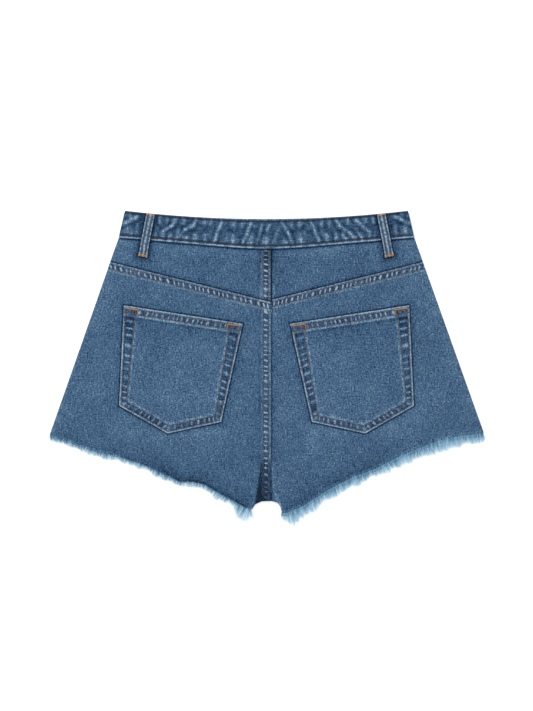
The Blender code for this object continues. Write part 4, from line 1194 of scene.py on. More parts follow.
def pocket_detail(x, v, sign):
    """(relief, shade, seam) of a patch pocket: rounded and turned edges, roping and a hemmed mouth."""
    distances, lengths = pocket_place(x, v, sign)
    from_edge, from_mouth, from_side = distances.min(axis=0), distances[0], distances[1:].min(axis=0)
    side = np.argmin(distances[1:], axis=0)
    along_side = np.take_along_axis(lengths[1:], side[None], axis=0)[0]
    along_mouth = lengths[0] + 0.11
    starts, ends = POCKET_INNER_ROWS.T
    spans = np.linalg.norm(np.roll(POCKET, -1, axis=0) - POCKET, axis=1)[1:]
    inner_row = starts[side] + (ends - starts)[side] * limit(along_side / spans[side])
    rows = (POCKET_ROW, inner_row)
    side_across, hem_across = seam_place(from_side, rows), seam_place(from_mouth, POCKET_HEM_ROWS)
    in_hem = from_mouth < POCKET_HEM
    in_box = in_hem & (from_side < TACK_BOX + 0.002)
    below_hem = 1.0 - in_hem

    round_off = 0.00075 * (1.0 - fold_rise(np.maximum(from_edge, 0.0), 0.0016))
    double = 0.00030 * fall(from_side, POCKET_TURN, 0.0020)
    hem_rise = POCKET_HEM_RISE * fall(from_mouth, POCKET_HEM, FELL_END)
    side_relief = 0.8 * seam_relief(0.7 * along_side, side_across, from_side, rows)
    hem_relief = seam_relief(along_mouth, hem_across, from_mouth, POCKET_HEM_ROWS) * (1.0 - in_box)
    relief = hem_rise + double - round_off + np.where(in_hem, hem_relief, side_relief)

    pitch = np.where((side == 0) | (side == 3), 0.70, 0.90)
    along = np.where(in_hem, along_mouth, (along_side + 0.21 * (side + 1)) * pitch)
    across = np.where(in_hem, hem_across, side_across)
    sewn = np.where(in_box, 0.25, np.where(in_hem, 0.76, 0.66))
    uneven = 0.8 + 0.2 * np.sin(along_side * 330.0 + 2.0 * np.sin(along_side * 90.0))
    marked = limit(np.sin(along_side * 620.0 + 2.2 * np.sin(along_side * 150.0)) * 0.7 + 0.5)
    # The dark line just inside the outer row is painted shade in its groove
    beside_rows = lines(from_side - POCKET_ROW, (-0.20, 0.6, 1.2)) - 0.16 * rope_window(side_across)
    beside_rows += lines(from_side - inner_row, (0.34, 2, 1.3)) * marked
    shade = 0.03 + lines(from_edge, (0.72, 0.9, 0.8)) * uneven + beside_rows * below_hem
    shade += lines(from_mouth, (0.40, 12.2, 1.6), (-0.26, 15.2, 1.4))
    shade = shade - 0.24 * in_box * smooth((from_mouth - POCKET_HEM_ROWS[0]) / 0.0008)
    shade += broad_patches(sign * x, v, POCKET_PATCHES)
    for (corner_a, corner_v), faded in zip(inset_corners(0.002, 0.0050), CORNER_WEAR):
        shade += lines(np.hypot(sign * x - corner_a, v - corner_v), (faded, 0, 4.2))
    return relief, shade, vectors(along, across, sewn)


def pocket_surface(x, v, sign):
    """Outer face of a pocket: the back, the lift and its own relief."""
    return back_level(x, v) + POCKET_LIFT + pocket_detail(x, v, sign)[0]


def pocket(side, sign):
    """A patch pocket on the back panel's own points, moved out: a grid ruled from its mouth to its tip."""
    outer_top, inner_top, inner_low, tip, outer_low = POCKET
    tip_share = (outer_low[0] - tip[0]) / (outer_low[0] - inner_low[0])
    across = stations((0.0, 0.10, tip_share, 0.90, 1.0), (5 * CELL, 8 * CELL, 14 * CELL, 5 * CELL))
    low = [np.interp(across, (0.0, tip_share, 1.0), places) for places in zip(outer_low, tip, inner_low)]
    top = [np.interp(across, (0.0, 1.0), places) for places in zip(outer_top, inner_top)]
    share = stations((0.0, 0.12, 0.90, 1.0), (5 * CELL, 22 * CELL, 4 * CELL))[:, None]
    a, v = mirrored(-sign, *ruled(top, low, share))
    x = sign * a
    lay_denim(
        f"denim_pocket_{side}",
        f"back_pocket_{side}",
        (x, v),
        back_level(x, v) + POCKET_LIFT,
        pocket_detail(x, v, sign),
        (x * 0.98 + 0.3, v * 0.97 + sign * 0.2, 0.0),
    )


# Waistband and belt loops


def puckers(x, share):
    """Slanted ripples of the waistband, none at its stitched edges."""
    height = 0.0 * x
    for x_upper, x_lower, half_width, rise in PUCKERS:
        height += rise * bell(x - x_upper - share * (x_lower - x_upper), half_width)
    return height * np.sin(np.pi * share)


def sharp(turns):
    """Narrow bumps, one a turn, with flat between them."""
    return limit(np.sin(2.0 * np.pi * turns)) ** 2


def band_detail(x, share, depth):
    """(relief, shade) of the waistband: faded crests, teeth along the stitching, and the sewn edges."""
    relief, shade, bright = 0.0 * x, 0.0 * x, 0.0 * x
    for x0, share0, x1, share1, half, faded in CRESTS:
        along, away = line_place(x, share * depth, (x0, share0 * BAND_DEPTH), (x1, share1 * BAND_DEPTH))
        crest = bell(away, CREST_SPREAD * half * np.sqrt(limit(4.6 * along * (1.0 - along) + 0.45)))
        # A trough beside each crest, darkened with painted shade
        beside = bell(away - 3.2 * half, 1.4 * half)
        relief += faded * (0.00026 * crest - 0.00008 * beside)
        shade += faded * (0.36 * bell(away, 3.6 * half) - 0.46 * beside)
        bright = np.maximum(bright, 0.56 * faded**0.6 * crest)
    from_top, from_low = share * depth, (1.0 - share) * depth
    lean = (x - np.sign(x) * 0.25 * from_low) * 90.0 / (2.0 * np.pi)
    low_turns = x / 0.0068 + 0.30 * np.sin(x * 120.0) + 0.22 * np.sin(x * 271.0 + 2.0) + lean
    low_teeth = sharp(low_turns) * (0.55 + 0.45 * np.sin(x * 173.0 + 0.5)) * bell(from_low - 0.0078, 0.0036)
    top_turns = x / 0.0061 + 0.33 * np.sin(x * 139.0 + 1.0)
    top_teeth = sharp(top_turns) * (0.5 + 0.5 * np.sin(x * 211.0)) * bell(from_top - 0.0062, 0.0026)
    round_off = 0.00065 * (2.0 - fold_rise(from_top, 0.0014) - fold_rise(from_low, 0.0014))
    from_top_row, from_low_row = from_top - band_top_row(x), from_low - BAND_ROWS[1]
    grooves = bell(from_top_row, GROOVE_HALF) + bell(from_low_row, GROOVE_HALF)
    relief += 0.00022 * low_teeth + 0.00012 * top_teeth - round_off - GROOVE * grooves
    piping = (0.95 + 0.25 * np.sin(x * 57.0 + 0.8) * np.sin(x * 23.0)) * (1.0 - 0.75 * bell(x - 0.004, 0.012))
    shade += bright + 0.46 * low_teeth + 0.40 * top_teeth - 0.02
    # Painted shade in the grooves under both rows
    shade += lines(from_top_row, (-0.60, 0.5, 1.2)) + lines(from_low_row, (-0.54, 0.3, 1.1))
    shade += lines(from_top, (-0.10, 10, 6), (0.25, 0.4, 0.6))
    shade += lines(from_top, (0.55, 1, 0.7)) * bell(x, ROLLED_HALF)
    # The dark line at the lower edge is painted shadow
    shade += lines(from_low, (-0.14, 16, 7), (-0.70, 0, 0.6))
    return relief, shade + lines(from_low, (1.25, 1.9, 0.68)) * piping


def band_top_row(x):
    """Distance of the upper row from the band's upper edge, which rolls forward at the centre."""
    return BAND_ROWS[0] + 0.0014 * bell(x, ROLLED_HALF)


def band_surface(x, v):
    """Outer face of the waistband across the back."""
    top = band_edge(x, BACK_SAG, 0)
    depth = band_edge(x, BACK_SAG, 1) - top
    share = (v - top) / depth
    return back_level(x, v) + BAND_STEP + puckers(x, share) + band_detail(x, share, depth)[0]


def front_band_level(x, v, under):
    """Outer face of the waistband's front; under is 1 where that end laps under the other."""
    return FRONT_CLEAR + front_level(x, v) + BAND_LAP * under * fall(x, *BAND_LAP_REACH)


def waistband():
    """One strip folded double, round from centre front to centre front, puckered across the back.

    Its angle is 0 on the back and half a turn on the front; each side bends through the angles between.
    """
    reach = WAIST_HALF - BAND_BEND
    front = stations((-BAND_END, reach), (34 * CELL,))[:-1]
    turn = np.linspace(np.pi, 0.0, 4 * CELL + 1)
    back = stations((-reach, reach), (92 * CELL,))[1:-1]
    at_top = np.concatenate([-front, 0.0 * turn - reach, back, 0.0 * turn + reach, front[::-1]])
    angle = np.concatenate([np.pi + 0.0 * front, turn, 0.0 * back, turn[::-1], np.pi + 0.0 * front])
    share = stations((0.0, 0.06, 0.94, 1.0), (CELL, 8 * CELL, CELL))[:, None]
    in_front = (angle > np.pi / 2.0) * 1.0
    bend = np.sign(at_top) * BAND_BEND * np.sin(angle)

    def across(half):
        return at_top / reach * (half - BAND_BEND) + bend

    def edge(half, lower):
        x = across(half)
        return np.where(in_front, band_edge(x, FRONT_SAG, lower), band_edge(x, BACK_SAG, lower))

    top, low = edge(WAIST_HALF, 0), edge(BAND_LOW_HALF, 1)
    v = top + share * (low - top)
    x = across(WAIST_HALF + share * (BAND_LOW_HALF - WAIST_HALF))
    late = np.arange(len(at_top)) > len(at_top) / 2.0
    relief, shade = band_detail(np.where(in_front, -0.96 * x, x), share + 0.0 * x, low - top + 0.0 * share)
    shade += loop_shadow(x, v) * (1.0 - in_front)
    front_z = front_band_level(x, v, late * in_front)
    back_z = back_level(x, v) + BAND_STEP + puckers(x, share)
    plain = front_z + (back_z - front_z) * (1.0 + np.cos(angle)) / 2.0
    outer = placed(x, v, plain + relief * np.cos(angle))
    outer[..., 0] += np.sign(x) * relief * np.sin(angle)
    outer[..., 2] = np.maximum(outer[..., 2], 0.0)
    around = np.cumsum(np.hypot(np.gradient(x[-1]), np.gradient(plain[-1])))
    cut = vectors(share * (low - top) + 0.9, around + 0.0 * share, 0.0)
    mesh = cloth("denim_waistband", cut, outer, placed(x, v, plain), BAND_WALL, shade)
    lay(mesh, "waistband denim", "band_denim", "waistband")


def loop_detail(across, along, length):
    """(relief, shade) of a belt loop: rounded edges and ends, two grooves and a raised middle."""
    from_edge = LOOP_HALF - np.abs(across)
    from_row = from_edge - LOOP_ROW
    from_end = np.minimum(along, 1.0 - along) * length
    relief = -0.0006 * (1.0 - fold_rise(from_edge, 0.0013)) - GROOVE * bell(from_row, GROOVE_HALF)
    relief = relief - 0.0005 * (1.0 - fold_rise(from_end, 0.0013)) + 0.00018 * bell(across, 0.0016)
    uneven = 0.8 + 0.2 * np.sin(along * 61.0 + across * 300.0)
    shade = 0.12 + (lines(from_edge, (0.84, 0.8, 1)) + lines(across, (0.86, 0, 1.4))) * uneven
    # The dark lines on the rows are painted shade in their grooves
    return relief, shade + lines(from_row, (-0.45, 0, 1.1)) + lines(from_end, (0.30, 0.5, 0.9))


def loop_grid(ends, sign):
    """Plan of a belt loop, the place across and along it, and its length. Columns run across it."""
    (a0, v0), (a1, v1) = ends
    length = np.hypot(a1 - a0, v1 - v0)
    along = np.linspace(0.0, 1.0, 16 * CELL + 1)[:, None]
    across = np.linspace(-LOOP_HALF, LOOP_HALF, 5 * CELL + 1) * loop_flare(along)
    a = a0 + along * (a1 - a0) + across * (v1 - v0) / length
    v = v0 + along * (v1 - v0) - across * (a1 - a0) / length
    return sign * a, v, across, along + 0.0 * across, length


def back_loop_level(x, v, along):
    """Over the waistband with a little slack, then down onto the yoke below its edge."""
    on_band = fall(v - band_edge(x, BACK_SAG, 1), *LOOP_STEP)
    carried = back_level(x, v) + (BAND_STEP + LOOP_OVER_PUCKERS) * on_band
    return carried + GAP + LOOP_WALL + LOOP_SLACK * np.sin(np.pi * along) ** 2


def belt_loop(side, sign, face):
    """A belt loop, on the back or on the front, where it lies face down."""
    x, v, across, along, length = loop_grid(BACK_LOOPS[sign] if face == "back" else FRONT_LOOP, sign)
    relief, shade = loop_detail(across, along, length)
    level, up = back_loop_level(x, v, along), 1.0
    if face == "front":
        level, up = FRONT_LOOP_LEVEL + 0.0 * x, -1.0
    arrays = (placed(x, v, level), placed(x, v, level + up * relief), shade, across, along)
    base, outer, shade, across, along = mirrored(sign * up, *arrays)
    cut = vectors(across + 1.3, along * length + sign, 0.0)
    mesh = cloth(f"denim_loop_{face}_{side}", cut, outer, base, LOOP_WALL, shade)
    lay(mesh, "waistband denim", "band_denim", f"belt_loop_{face}_{side}")


# Cloth of the front


def front_detail(x, v, sign):
    """(relief, shade, seam) of the front: the seam below the fly, the fly's edge and creases, set inwards."""
    from_fly = FLY_EDGE - x if sign < 0 else np.full_like(x, 1.0)
    across = seam_place(np.maximum(from_fly, 0.0), CENTRE_ROWS)
    sewn = 0.8 * (sign < 0) * (from_fly < SEAM_REACH) * (v > 0.245)
    creases = np.maximum(folds(x, v, FRONT_CREASES), 0.0)
    relief = creases - ROPE_RISE * ripple(v, across) * rope_window(across) * sewn
    # Painted shadow: a dark line on the right half beside the left half's lapped fly edge, and one under the
    # waistband
    edge = lines(from_fly, (0.45, 0.8, 1)) if sign < 0 else lines(x - FLY_EDGE, (-0.8, 0.6, 1.4))
    from_band = v - band_edge(x, FRONT_SAG, 1)
    shade = edge - 750.0 * creases + lines(from_band, (-0.9, 0.4, 1.2)) + side_wear(sign * x, v)
    return relief, shade, vectors(v, across, sewn)


def front_panel(side, sign):
    """A front leg panel. The left one laps over the right down the fly; lower down they lie edge to edge."""

    def upper(a):
        return band_edge(a, FRONT_SAG, 1) + GAP

    cells = (20 if sign < 0 else 16, 124)
    a, v, _, rise = leg_plan(upper, FRONT_HEMS[sign], BAND_LOW_HALF, FRONT_FOLD, cells, 32 * CELL)
    level = front_level(sign * a, v)
    if sign > 0:
        beside, reach = FLY_EDGE + GAP, 0.0150
        start = FLY_UNDER + (beside - FLY_UNDER) * (1.0 - fall(v[:, :1], *FLY_OUT))
        share = limit((a - beside) / (reach - beside))
        a = np.where(a < reach, start + share * (reach - start), a)
        level = front_level(a, v) + FLY_LAP * fall(a, beside, FLY_LAP_RUN) * fall(v, *FLY_FLAT)
    a, v, level, rise = mirrored(-sign, a, v, level, rise)
    x = sign * a
    lay_denim(
        f"denim_front_{side}",
        f"front_panel_{side}",
        (x, v),
        FRONT_CLEAR + level,
        front_detail(x, v, sign),
        (x + 2.0, v, 0.0),
        (rise, FOLD_LEVEL - FOLD_GAP),
    )


def fly_shield():
    """The flat shield behind the fly."""
    inner, outer, top, low = SHIELD
    x, v = np.meshgrid(np.linspace(inner, outer, 5 * CELL + 1), np.linspace(top, low, 18 * CELL + 1))
    level = SHIELD_LEVEL + SHIELD_WALL + front_level(x, v)
    shade = lines(np.minimum(x - inner, outer - x), (0.3, 0, 1.2))
    detail = (0.0, shade, None)
    cut = (x + 3.0, v, 0.0)
    lay_denim("denim_fly_shield", "fly_shield", (x, v), level, detail, cut, wall=SHIELD_WALL)


# Sewing


def row_stitches(points, pitch, gap):
    """Starts and ends, in plan, of even stitches along a line of points."""
    points = np.array(points, float)
    steps = np.hypot(*np.diff(points, axis=0).T)
    reach = np.concatenate([[0.0], np.cumsum(steps)])
    count = max(1, round(reach[-1] / pitch))
    marks = np.linspace(0.0, reach[-1], count + 1)

    def at(distance):
        return np.column_stack([np.interp(distance, reach, axis) for axis in points.T])

    return at(marks[:-1] + gap / 2.0), at(marks[1:] - gap / 2.0)


def stitch_points(starts, ends, width, up):
    """Points of stitches between 3-D starts and ends: three four-sided rings that swell between two poles.

    A ring's centre rises by a third of the width in the middle, and its half width is half the thread's.
    """
    span = ends - starts
    length = np.linalg.norm(span, axis=1, keepdims=True)
    along = span / length
    side = np.cross(along, (0.0, 0.0, 1.0))
    side /= np.linalg.norm(side, axis=1, keepdims=True)
    above = np.cross(side, along) * up
    rings = []
    for share, swell in ((0.12, 0.78), (0.5, 1.0), (0.88, 0.78)):
        centre = starts + span * share + above * width * (0.10 + 0.22 * (swell - 0.78) / 0.22)
        for across, lift in ((1.0, 0.0), (0.0, 0.8), (-1.0, 0.0), (0.0, -0.8)):
            rings.append(centre + (side * across + above * lift) * width / 2.0 * swell)
    poles = [starts - above * width * 0.25, ends - above * width * 0.25]
    return np.stack([poles[0], *rings, poles[1]], axis=1)


def ring_bands(first, rings, sides):
    """Quads that join rings of points, numbered ring by ring from first."""
    index = first + np.arange(rings * sides).reshape(rings, sides)
    after = np.roll(index, -1, axis=1)
    return np.stack([index[:-1], index[1:], after[1:], after[:-1]], axis=-1).reshape(-1, 4)


def stitch_faces(count, up):
    """Faces of the stitches: a cap, two bands and a cap."""
    cap = [(0, 1 + side, 1 + (side + 1) % 4) for side in range(4)]
    end = [(13, 9 + (side + 1) % 4, 9 + side) for side in range(4)]
    shift = 14 * np.arange(count)[:, None, None]
    turn = slice(None) if up > 0 else slice(None, None, -1)
    triangles = (np.array(cap + end)[:, turn] + shift).reshape(-1, 3)
    quads = (ring_bands(1, 3, 4)[:, turn] + shift).reshape(-1, 4)
    return triangles, quads


class Sewing:
    """Collects rows of stitches and makes them one mesh."""

    def __init__(self, name):
        self.name = name
        self.points, self.tones, self.triangles, self.quads = [], [], [], []
        self.count = 0
        self.sizes = bpy.context.scene.shorts_sizes

    def add(self, starts, ends, tone, width, up):
        points = stitch_points(starts, ends, width, up)
        points[..., 2] = np.maximum(points[..., 2], 0.0)  # pressed flat where the shorts rest
        triangles, quads = stitch_faces(len(starts), up)
        self.points.append(points.reshape(-1, 3))
        own = tone + 0.20 * np.sin(np.arange(len(points)) * 1.9) * (tone > 0.25) * (tone < 0.7)
        self.tones.append(np.repeat(own, points.shape[1]))
        self.triangles.append(triangles + self.count)
        self.quads.append(quads + self.count)
        self.count += points.shape[0] * points.shape[1]

    def row(self, line, surface, tone, up=1.0, width=1.0):
        """A row of stitches along a line of (x, v), on surface(x, v)."""
        rise = up * self.sizes.thread * 0.12
        plans = row_stitches(line, self.sizes.stitch_pitch, self.sizes.stitch_gap)
        lifted = [placed(*plan.T, surface(*plan.T) + rise) for plan in plans]
        self.add(*lifted, tone, self.sizes.thread * width, up)

    def tack(self, start, end, height, surface, tone, up=1.0, pitch=TACK_PITCH):
        """A bar tack: close stitches square to the line from start to end, height long."""
        start, end = np.array(start, float), np.array(end, float)
        length = np.hypot(*(end - start))
        along = (end - start) / length
        square = np.array((-along[1], along[0]))
        marks = np.linspace(0.0, length, max(2, round(length / pitch)))[:, None]
        zigzag = 0.12 * height * (-1.0) ** np.arange(len(marks))[:, None]
        middle = start + along * marks
        plans = (middle - square * (height / 2.0 + zigzag), middle + square * (height / 2.0 - zigzag))
        level = surface(*middle.T) + up * self.sizes.thread * 0.28
        lifted = [placed(*plan.T, level) for plan in plans]
        self.add(*lifted, tone, self.sizes.thread * 1.05, up)

    def finish(self):
        faces = [np.concatenate(self.triangles), np.concatenate(self.quads)]
        mesh = make_mesh(self.name, np.concatenate(self.points), faces)
        set_attribute(mesh, "tone", np.concatenate(self.tones))
        return place(mesh, "sewing thread", "denim")


def line_between(start, end, count=60):
    """Even points along a straight line."""
    share = np.linspace(0.0, 1.0, count)[:, None]
    return np.array(start) + share * (np.array(end) - np.array(start))


def sew_yokes(sewing):
    """Both rows of each yoke's seam, on the back panel."""
    for _, sign in SIDES:
        for row in YOKE_ROWS:
            start = 0.0008 - CENTRE_EDGE if sign < 0 else CENTRE_EDGE + 0.0010
            a = np.linspace(start, SEAM_SIDE - 0.0042, 120)
            line = np.column_stack([sign * a, yoke_seam(a) + row * SEAM_SLANT])
            sewing.row(line, lambda x, v, sign=sign: panel_surface(x, v, sign), 0.52)


def sew_centre(sewing):
    """Both rows of the centre seam, down the left yoke and then down the left panel."""
    for index, (row, end) in enumerate(zip(CENTRE_ROWS, CENTRE_ROW_ENDS)):
        x = CENTRE_EDGE - row
        top = float(band_edge(x, BACK_SAG, 1)) + 0.0010
        seam = float(yoke_seam(-x)) - 0.0010
        sewing.row(line_between((x, top), (x, seam)), lambda x, v: yoke_surface(x, v, -1.0), 0.56)
        below = seam + 0.0020 + (YOKE_ROWS[1] + 0.0015) * SEAM_SLANT
        line = line_between((x, below), (x, end))
        line[:, 0] = CENTRE_EDGE - centre_rows(line[:, 1])[index]
        for part, tone in ((line[:50], 0.42), (line[49:], 0.20)):
            sewing.row(part, lambda x, v: panel_surface(x, v, -1.0), tone)


def inset_corners(mouth, sides):
    """Corners of the pocket's outline moved in: by mouth at its mouth, and by sides at its other edges.

    sides is one distance, or the distances at both ends of each edge. A corner is where two moved edges meet.
    """
    insets = ((mouth, mouth), *np.broadcast_to(sides, (4, 2)))
    moved = []
    for (start, end), (p, q) in zip(insets, zip(POCKET, np.roll(POCKET, -1, axis=0))):
        along = (q - p) / np.hypot(*(q - p))
        inward = np.array((along[1], -along[0]))
        moved.append((p + inward * start, q + inward * end))
    corners = []
    for (p, q), (r, s) in zip((moved[-1], *moved), moved):
        corners.append(p + (q - p) * np.cross(r - p, s - r) / np.cross(q - p, s - r))
    return np.array(corners)


def sew_pockets(sewing):
    """The rows round each pocket and its hem, and bar tacks round a box in both corners of its mouth."""
    near, low_near = (inset_corners(row, POCKET_ROW) for row in POCKET_HEM_ROWS)
    box, low_box = (inset_corners(row, TACK_BOX + POCKET_ROW) for row in POCKET_HEM_ROWS)
    far = inset_corners(POCKET_HEM_ROWS[1], POCKET_INNER_ROWS)
    rows = (
        (near[:2], 0.50),
        (low_near[:2], 0.50),
        ((low_near[1], *near[2:], low_near[0]), 0.42),
        ((*far[1:], far[0]), 0.44),
    )
    for _, sign in SIDES:
        flip = (sign, 1.0)

        def surface(x, v, sign=sign):
            return pocket_surface(x, v, sign)

        for corners, tone in rows:
            points = np.array(corners) * flip
            path = [line_between(p, q, 40) for p, q in zip(points[:-1], points[1:])]
            sewing.row(np.concatenate(path), surface, tone)
        for corner in (0, 1):
            start, end, low_start, low_end = (at[corner] * flip for at in (near, box, low_near, low_box))
            sewing.tack(start, end, 0.0015, surface, 1.0)
            sewing.tack(end, low_end, 0.0013, surface, 0.92)
            sewing.tack(start, low_start, 0.0009, surface, 0.60, pitch=0.0009)


def edge_line(x, sag, lower, drop):
    """Points along an edge of the waistband, drop below it."""
    return np.column_stack([x, band_edge(x, sag, lower) + drop])


def sew_waistband(sewing):
    """A row along each edge of the waistband, across the back and round the front to its lapped ends."""
    side, low_side = WAIST_HALF - 0.0035, BAND_LOW_HALF - 0.0045
    x = np.linspace(-side, side, 400)
    sewing.row(edge_line(x, BACK_SAG, 0, band_top_row(x)), band_surface, -0.08, width=1.75)
    x = np.linspace(-low_side, low_side, 400)
    sewing.row(edge_line(x, BACK_SAG, 1, -BAND_ROWS[1]), band_surface, -0.02, width=2.00)
    over, under = np.linspace(-side, BAND_END - 0.003, 240), np.linspace(BAND_END + 0.002, side, 200)
    for lower, drop in ((0, BAND_ROWS[0]), (1, -BAND_ROWS[1])):
        sewing.row(edge_line(over, FRONT_SAG, lower, drop), front_thread_level, 0.2, -1.0)
        sewing.row(edge_line(under, FRONT_SAG, lower, drop), lapped_thread_level, 0.2, -1.0)


def front_thread_level(x, v):
    """Level of the grooves in the front for its rows."""
    return FRONT_CLEAR + front_level(x, v) + GROOVE


def lapped_thread_level(x, v):
    """Level of the grooves in the waistband's lapped end."""
    return front_band_level(x, v, x > 0.0) + GROOVE


def sew_loops(sewing):
    """Two rows down each belt loop, a bar tack across its lower end and two side by side across the upper."""
    row, side = LOOP_HALF - LOOP_ROW, LOOP_HALF - 0.0009
    half = LOOP_HALF * (1.0 + LOOP_FLARE) - 0.0006
    for _, sign in SIDES:
        for ends, up in ((BACK_LOOPS[sign], 1.0), (FRONT_LOOP, -1.0)):
            start, along = ends[0], ends[1] - ends[0]
            length = np.hypot(*along)
            along, beside = along / length, np.array((along[1], -along[0])) / length

            def points(*places, sign=sign, start=start, along=along, beside=beside):
                """Points given by their distances across and along the loop."""
                return [(start + beside * p + along * q) * (sign, 1.0) for p, q in places]

            def surface(x, v, sign=sign, ends=ends, up=up):
                if up < 0.0:
                    return FRONT_LOOP_LEVEL + GROOVE + 0.0 * x
                across, reach, length = line_frame(sign * x, v, ends)
                return back_loop_level(x, v, reach / length) + loop_detail(across, reach / length, length)[0]

            for across in (-row, row):
                line = line_between(*points((across, 0.0030), (across, length - 0.0030)))
                sewing.row(line, surface, 0.34, up)
            low = length - 0.0018
            sewing.tack(*points((-half, low), (half, low)), 0.0017, surface, 1.0, up)
            for first, last in ((-side, -0.0011), (0.0011, side)):
                sewing.tack(*points((first, 0.0014), (last, 0.0014)), 0.0018, surface, 1.0, up)


def sew_front(sewing):
    """The fly's curved double row, the seam below it, and a bar tack where they meet."""
    turn = np.linspace(0.0, np.pi / 2.0, 30)
    for offset in FLY_ROWS:
        reach = FLY_REACH - offset
        top = float(band_edge(reach, FRONT_SAG, 1)) + 0.001
        bend_x = -reach + (reach + 0.004) * (1.0 - np.cos(turn))
        bend_v = FLY_BEND + (FLY_BEND_DEPTH - offset) * np.sin(turn)
        x = np.concatenate([np.full(50, -reach), bend_x])
        v = np.concatenate([np.linspace(top, FLY_BEND, 50), bend_v])
        sewing.row(np.column_stack([x, v]), front_thread_level, 0.5, -1.0)
    for row in CENTRE_ROWS:
        x = FLY_EDGE - row
        line = line_between((x, FRONT_SEAM[0]), (x, FRONT_SEAM[1]))
        sewing.row(line, front_thread_level, 0.5, -1.0)
    sewing.tack((-0.0095, 0.2440), (0.0035, 0.2440), 0.0018, front_thread_level, 1.0, -1.0)


SEWN = {
    "waistband": sew_waistband,
    "belt_loops": sew_loops,
    "yokes": sew_yokes,
    "centre_back": sew_centre,
    "pockets": sew_pockets,
    "front": sew_front,
}


# Button and zip


def lathe(name, profile, sides, centre):
    """A turned piece: the profile of (radius, level) is carried round its axis. Its ends are poles."""
    radius, level = np.array(profile, float).T[:, :, None]
    turns = np.linspace(0.0, 2.0 * np.pi, sides, endpoint=False)
    x, y = centre[0] + radius * np.cos(turns), centre[1] + radius * np.sin(turns)
    rings = vectors(x, y, level)[1:-1].reshape(-1, 3)
    points = np.concatenate([rings, [(*centre, level[0, 0]), (*centre, level[-1, 0])]])
    side, count = np.arange(sides), len(rings)
    after, last = np.roll(side, -1), count - sides
    first_cap = np.column_stack([np.full(sides, count), side, after])
    last_cap = np.column_stack([np.full(sides, count + 1), last + after, last + side])
    return make_mesh(name, points, [ring_bands(0, count // sides, sides), np.vstack([first_cap, last_cap])])


def waist_button():
    """The button's domed head below, its shank, and the tack's foot on the inside."""
    low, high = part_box("waist_button")
    radius = (high.x - low.x) / 2.0
    foot = [(out, high.z - depth) for out, depth in BUTTON_FOOT]
    head = [(radius - inset, level) for inset, level in BUTTON_HEAD]
    profile = (*foot, BUTTON_SHANK, *head, (0.0, 0.0))
    mesh = lathe("brass_waist_button", profile, 72, (0.0, WAIST_LINE - BUTTON_DROP))
    place(mesh, "aged brass", "brass", "waist_button")


def box_mesh(name, centres, sizes):
    """A mesh of upright boxes, with flat faces."""
    corner = np.array([(x, y, z) for z in (-0.5, 0.5) for y in (-0.5, 0.5) for x in (-0.5, 0.5)])
    faces = ((0, 2, 3, 1), (4, 5, 7, 6), (0, 1, 5, 4), (2, 6, 7, 3), (0, 4, 6, 2), (1, 3, 7, 5))
    shift = 8 * np.arange(len(centres))[:, None, None]
    points = centres[:, None, :] + corner[None] * sizes[:, None, :]
    mesh = make_mesh(name, points, [(np.array(faces)[None] + shift).reshape(-1, 4)])
    mesh.shade_flat()
    return mesh


def zip_fastener():
    """The closed zip under the fly: two rows of brass teeth between two cotton tapes, and a slider on top."""
    low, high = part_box("zip")
    sides = np.array((low.x, high.x))
    centres = vectors((sides + ZIP_CENTRE) / 2.0, (low.y + high.y) / 2.0, low.z + TAPE_WALL / 2.0)
    sizes = vectors(np.abs(sides - ZIP_CENTRE) - 0.0006, high.y - low.y, TAPE_WALL)
    place(box_mesh("cotton_zip_tape", centres, sizes), "zip tape", "zip_tape", "zip")
    tooth_y = np.arange(low.y + 0.003, high.y - 0.012, 0.0014)
    shift = np.where(np.arange(len(tooth_y)) % 2, 0.0009, -0.0009)
    teeth = vectors(ZIP_CENTRE + shift, tooth_y, low.z + TAPE_WALL)
    slider = (
        (ZIP_CENTRE, high.y - 0.0068, low.z + 0.00065),
        (ZIP_CENTRE, high.y - 0.0125, low.z + 0.0008),
    )
    sizes = np.concatenate([np.tile(ZIP_TOOTH, (len(teeth), 1)), ZIP_SLIDER])
    place(box_mesh("brass_zip_chain", np.concatenate([teeth, slider]), sizes), "aged brass", "brass")


# Fraying


def fray_line(hem):
    """Places along a cut hem, its drop there, and the direction in which its threads hang."""
    grid = np.linspace(*STRIP_ENDS, 261)
    drop = np.interp(grid, hem[:, 0], hem[:, 1])
    slope = np.pad(np.gradient(drop, grid), 4, mode="edge")
    slope = np.convolve(slope, np.ones(9) / 9.0, mode="valid")
    return grid, drop, np.arctan(slope) * THREAD_TURN


def fibre_points(root, aim, side, length, bend, curl, width, sink):
    """Rings of tapering three-sided fibres, then their tips.

    A fibre's centre runs from root along aim, bending to one side with the square of its share and curling
    as a sine, and sinks with share to the 1.5.
    """
    share = FIBRE_SHARES[:, None]
    root, aim, side = root[:, None], aim[:, None], side[:, None]
    length, bend, curl, width = (values[:, None, None] for values in (length, bend, curl, width))
    centre = root + aim * length * share + side * (length * bend * share**2)
    centre += side * (curl * np.sin(share * 5.0 + bend * 40.0))
    centre[..., 2] -= sink[:, None] * FIBRE_SHARES**1.5
    rings = []
    for turn in np.radians((90.0, 210.0, 330.0)):
        across = side * np.cos(turn) + np.array((0.0, 0.0, np.sin(turn)))
        rings.append(centre + across * (width / 2.0) * FIBRE_TAPER[:, None])
    rings = np.stack(rings, axis=2).reshape(len(root), -1, 3)
    return np.concatenate([rings, centre[:, -1:] + aim * length * 0.07], axis=1)


def fibre_faces(count, first):
    """Faces of fibres of 16 points: four bands of quads, then the root cap and the tip."""
    ends = [(0, 1, 2)] + [(12 + side, 15, 12 + (side + 1) % 3) for side in range(3)]
    shift = first + 16 * np.arange(count)[:, None, None]
    return (ring_bands(0, 5, 3) + shift).reshape(-1, 4), (np.array(ends) + shift).reshape(-1, 3)


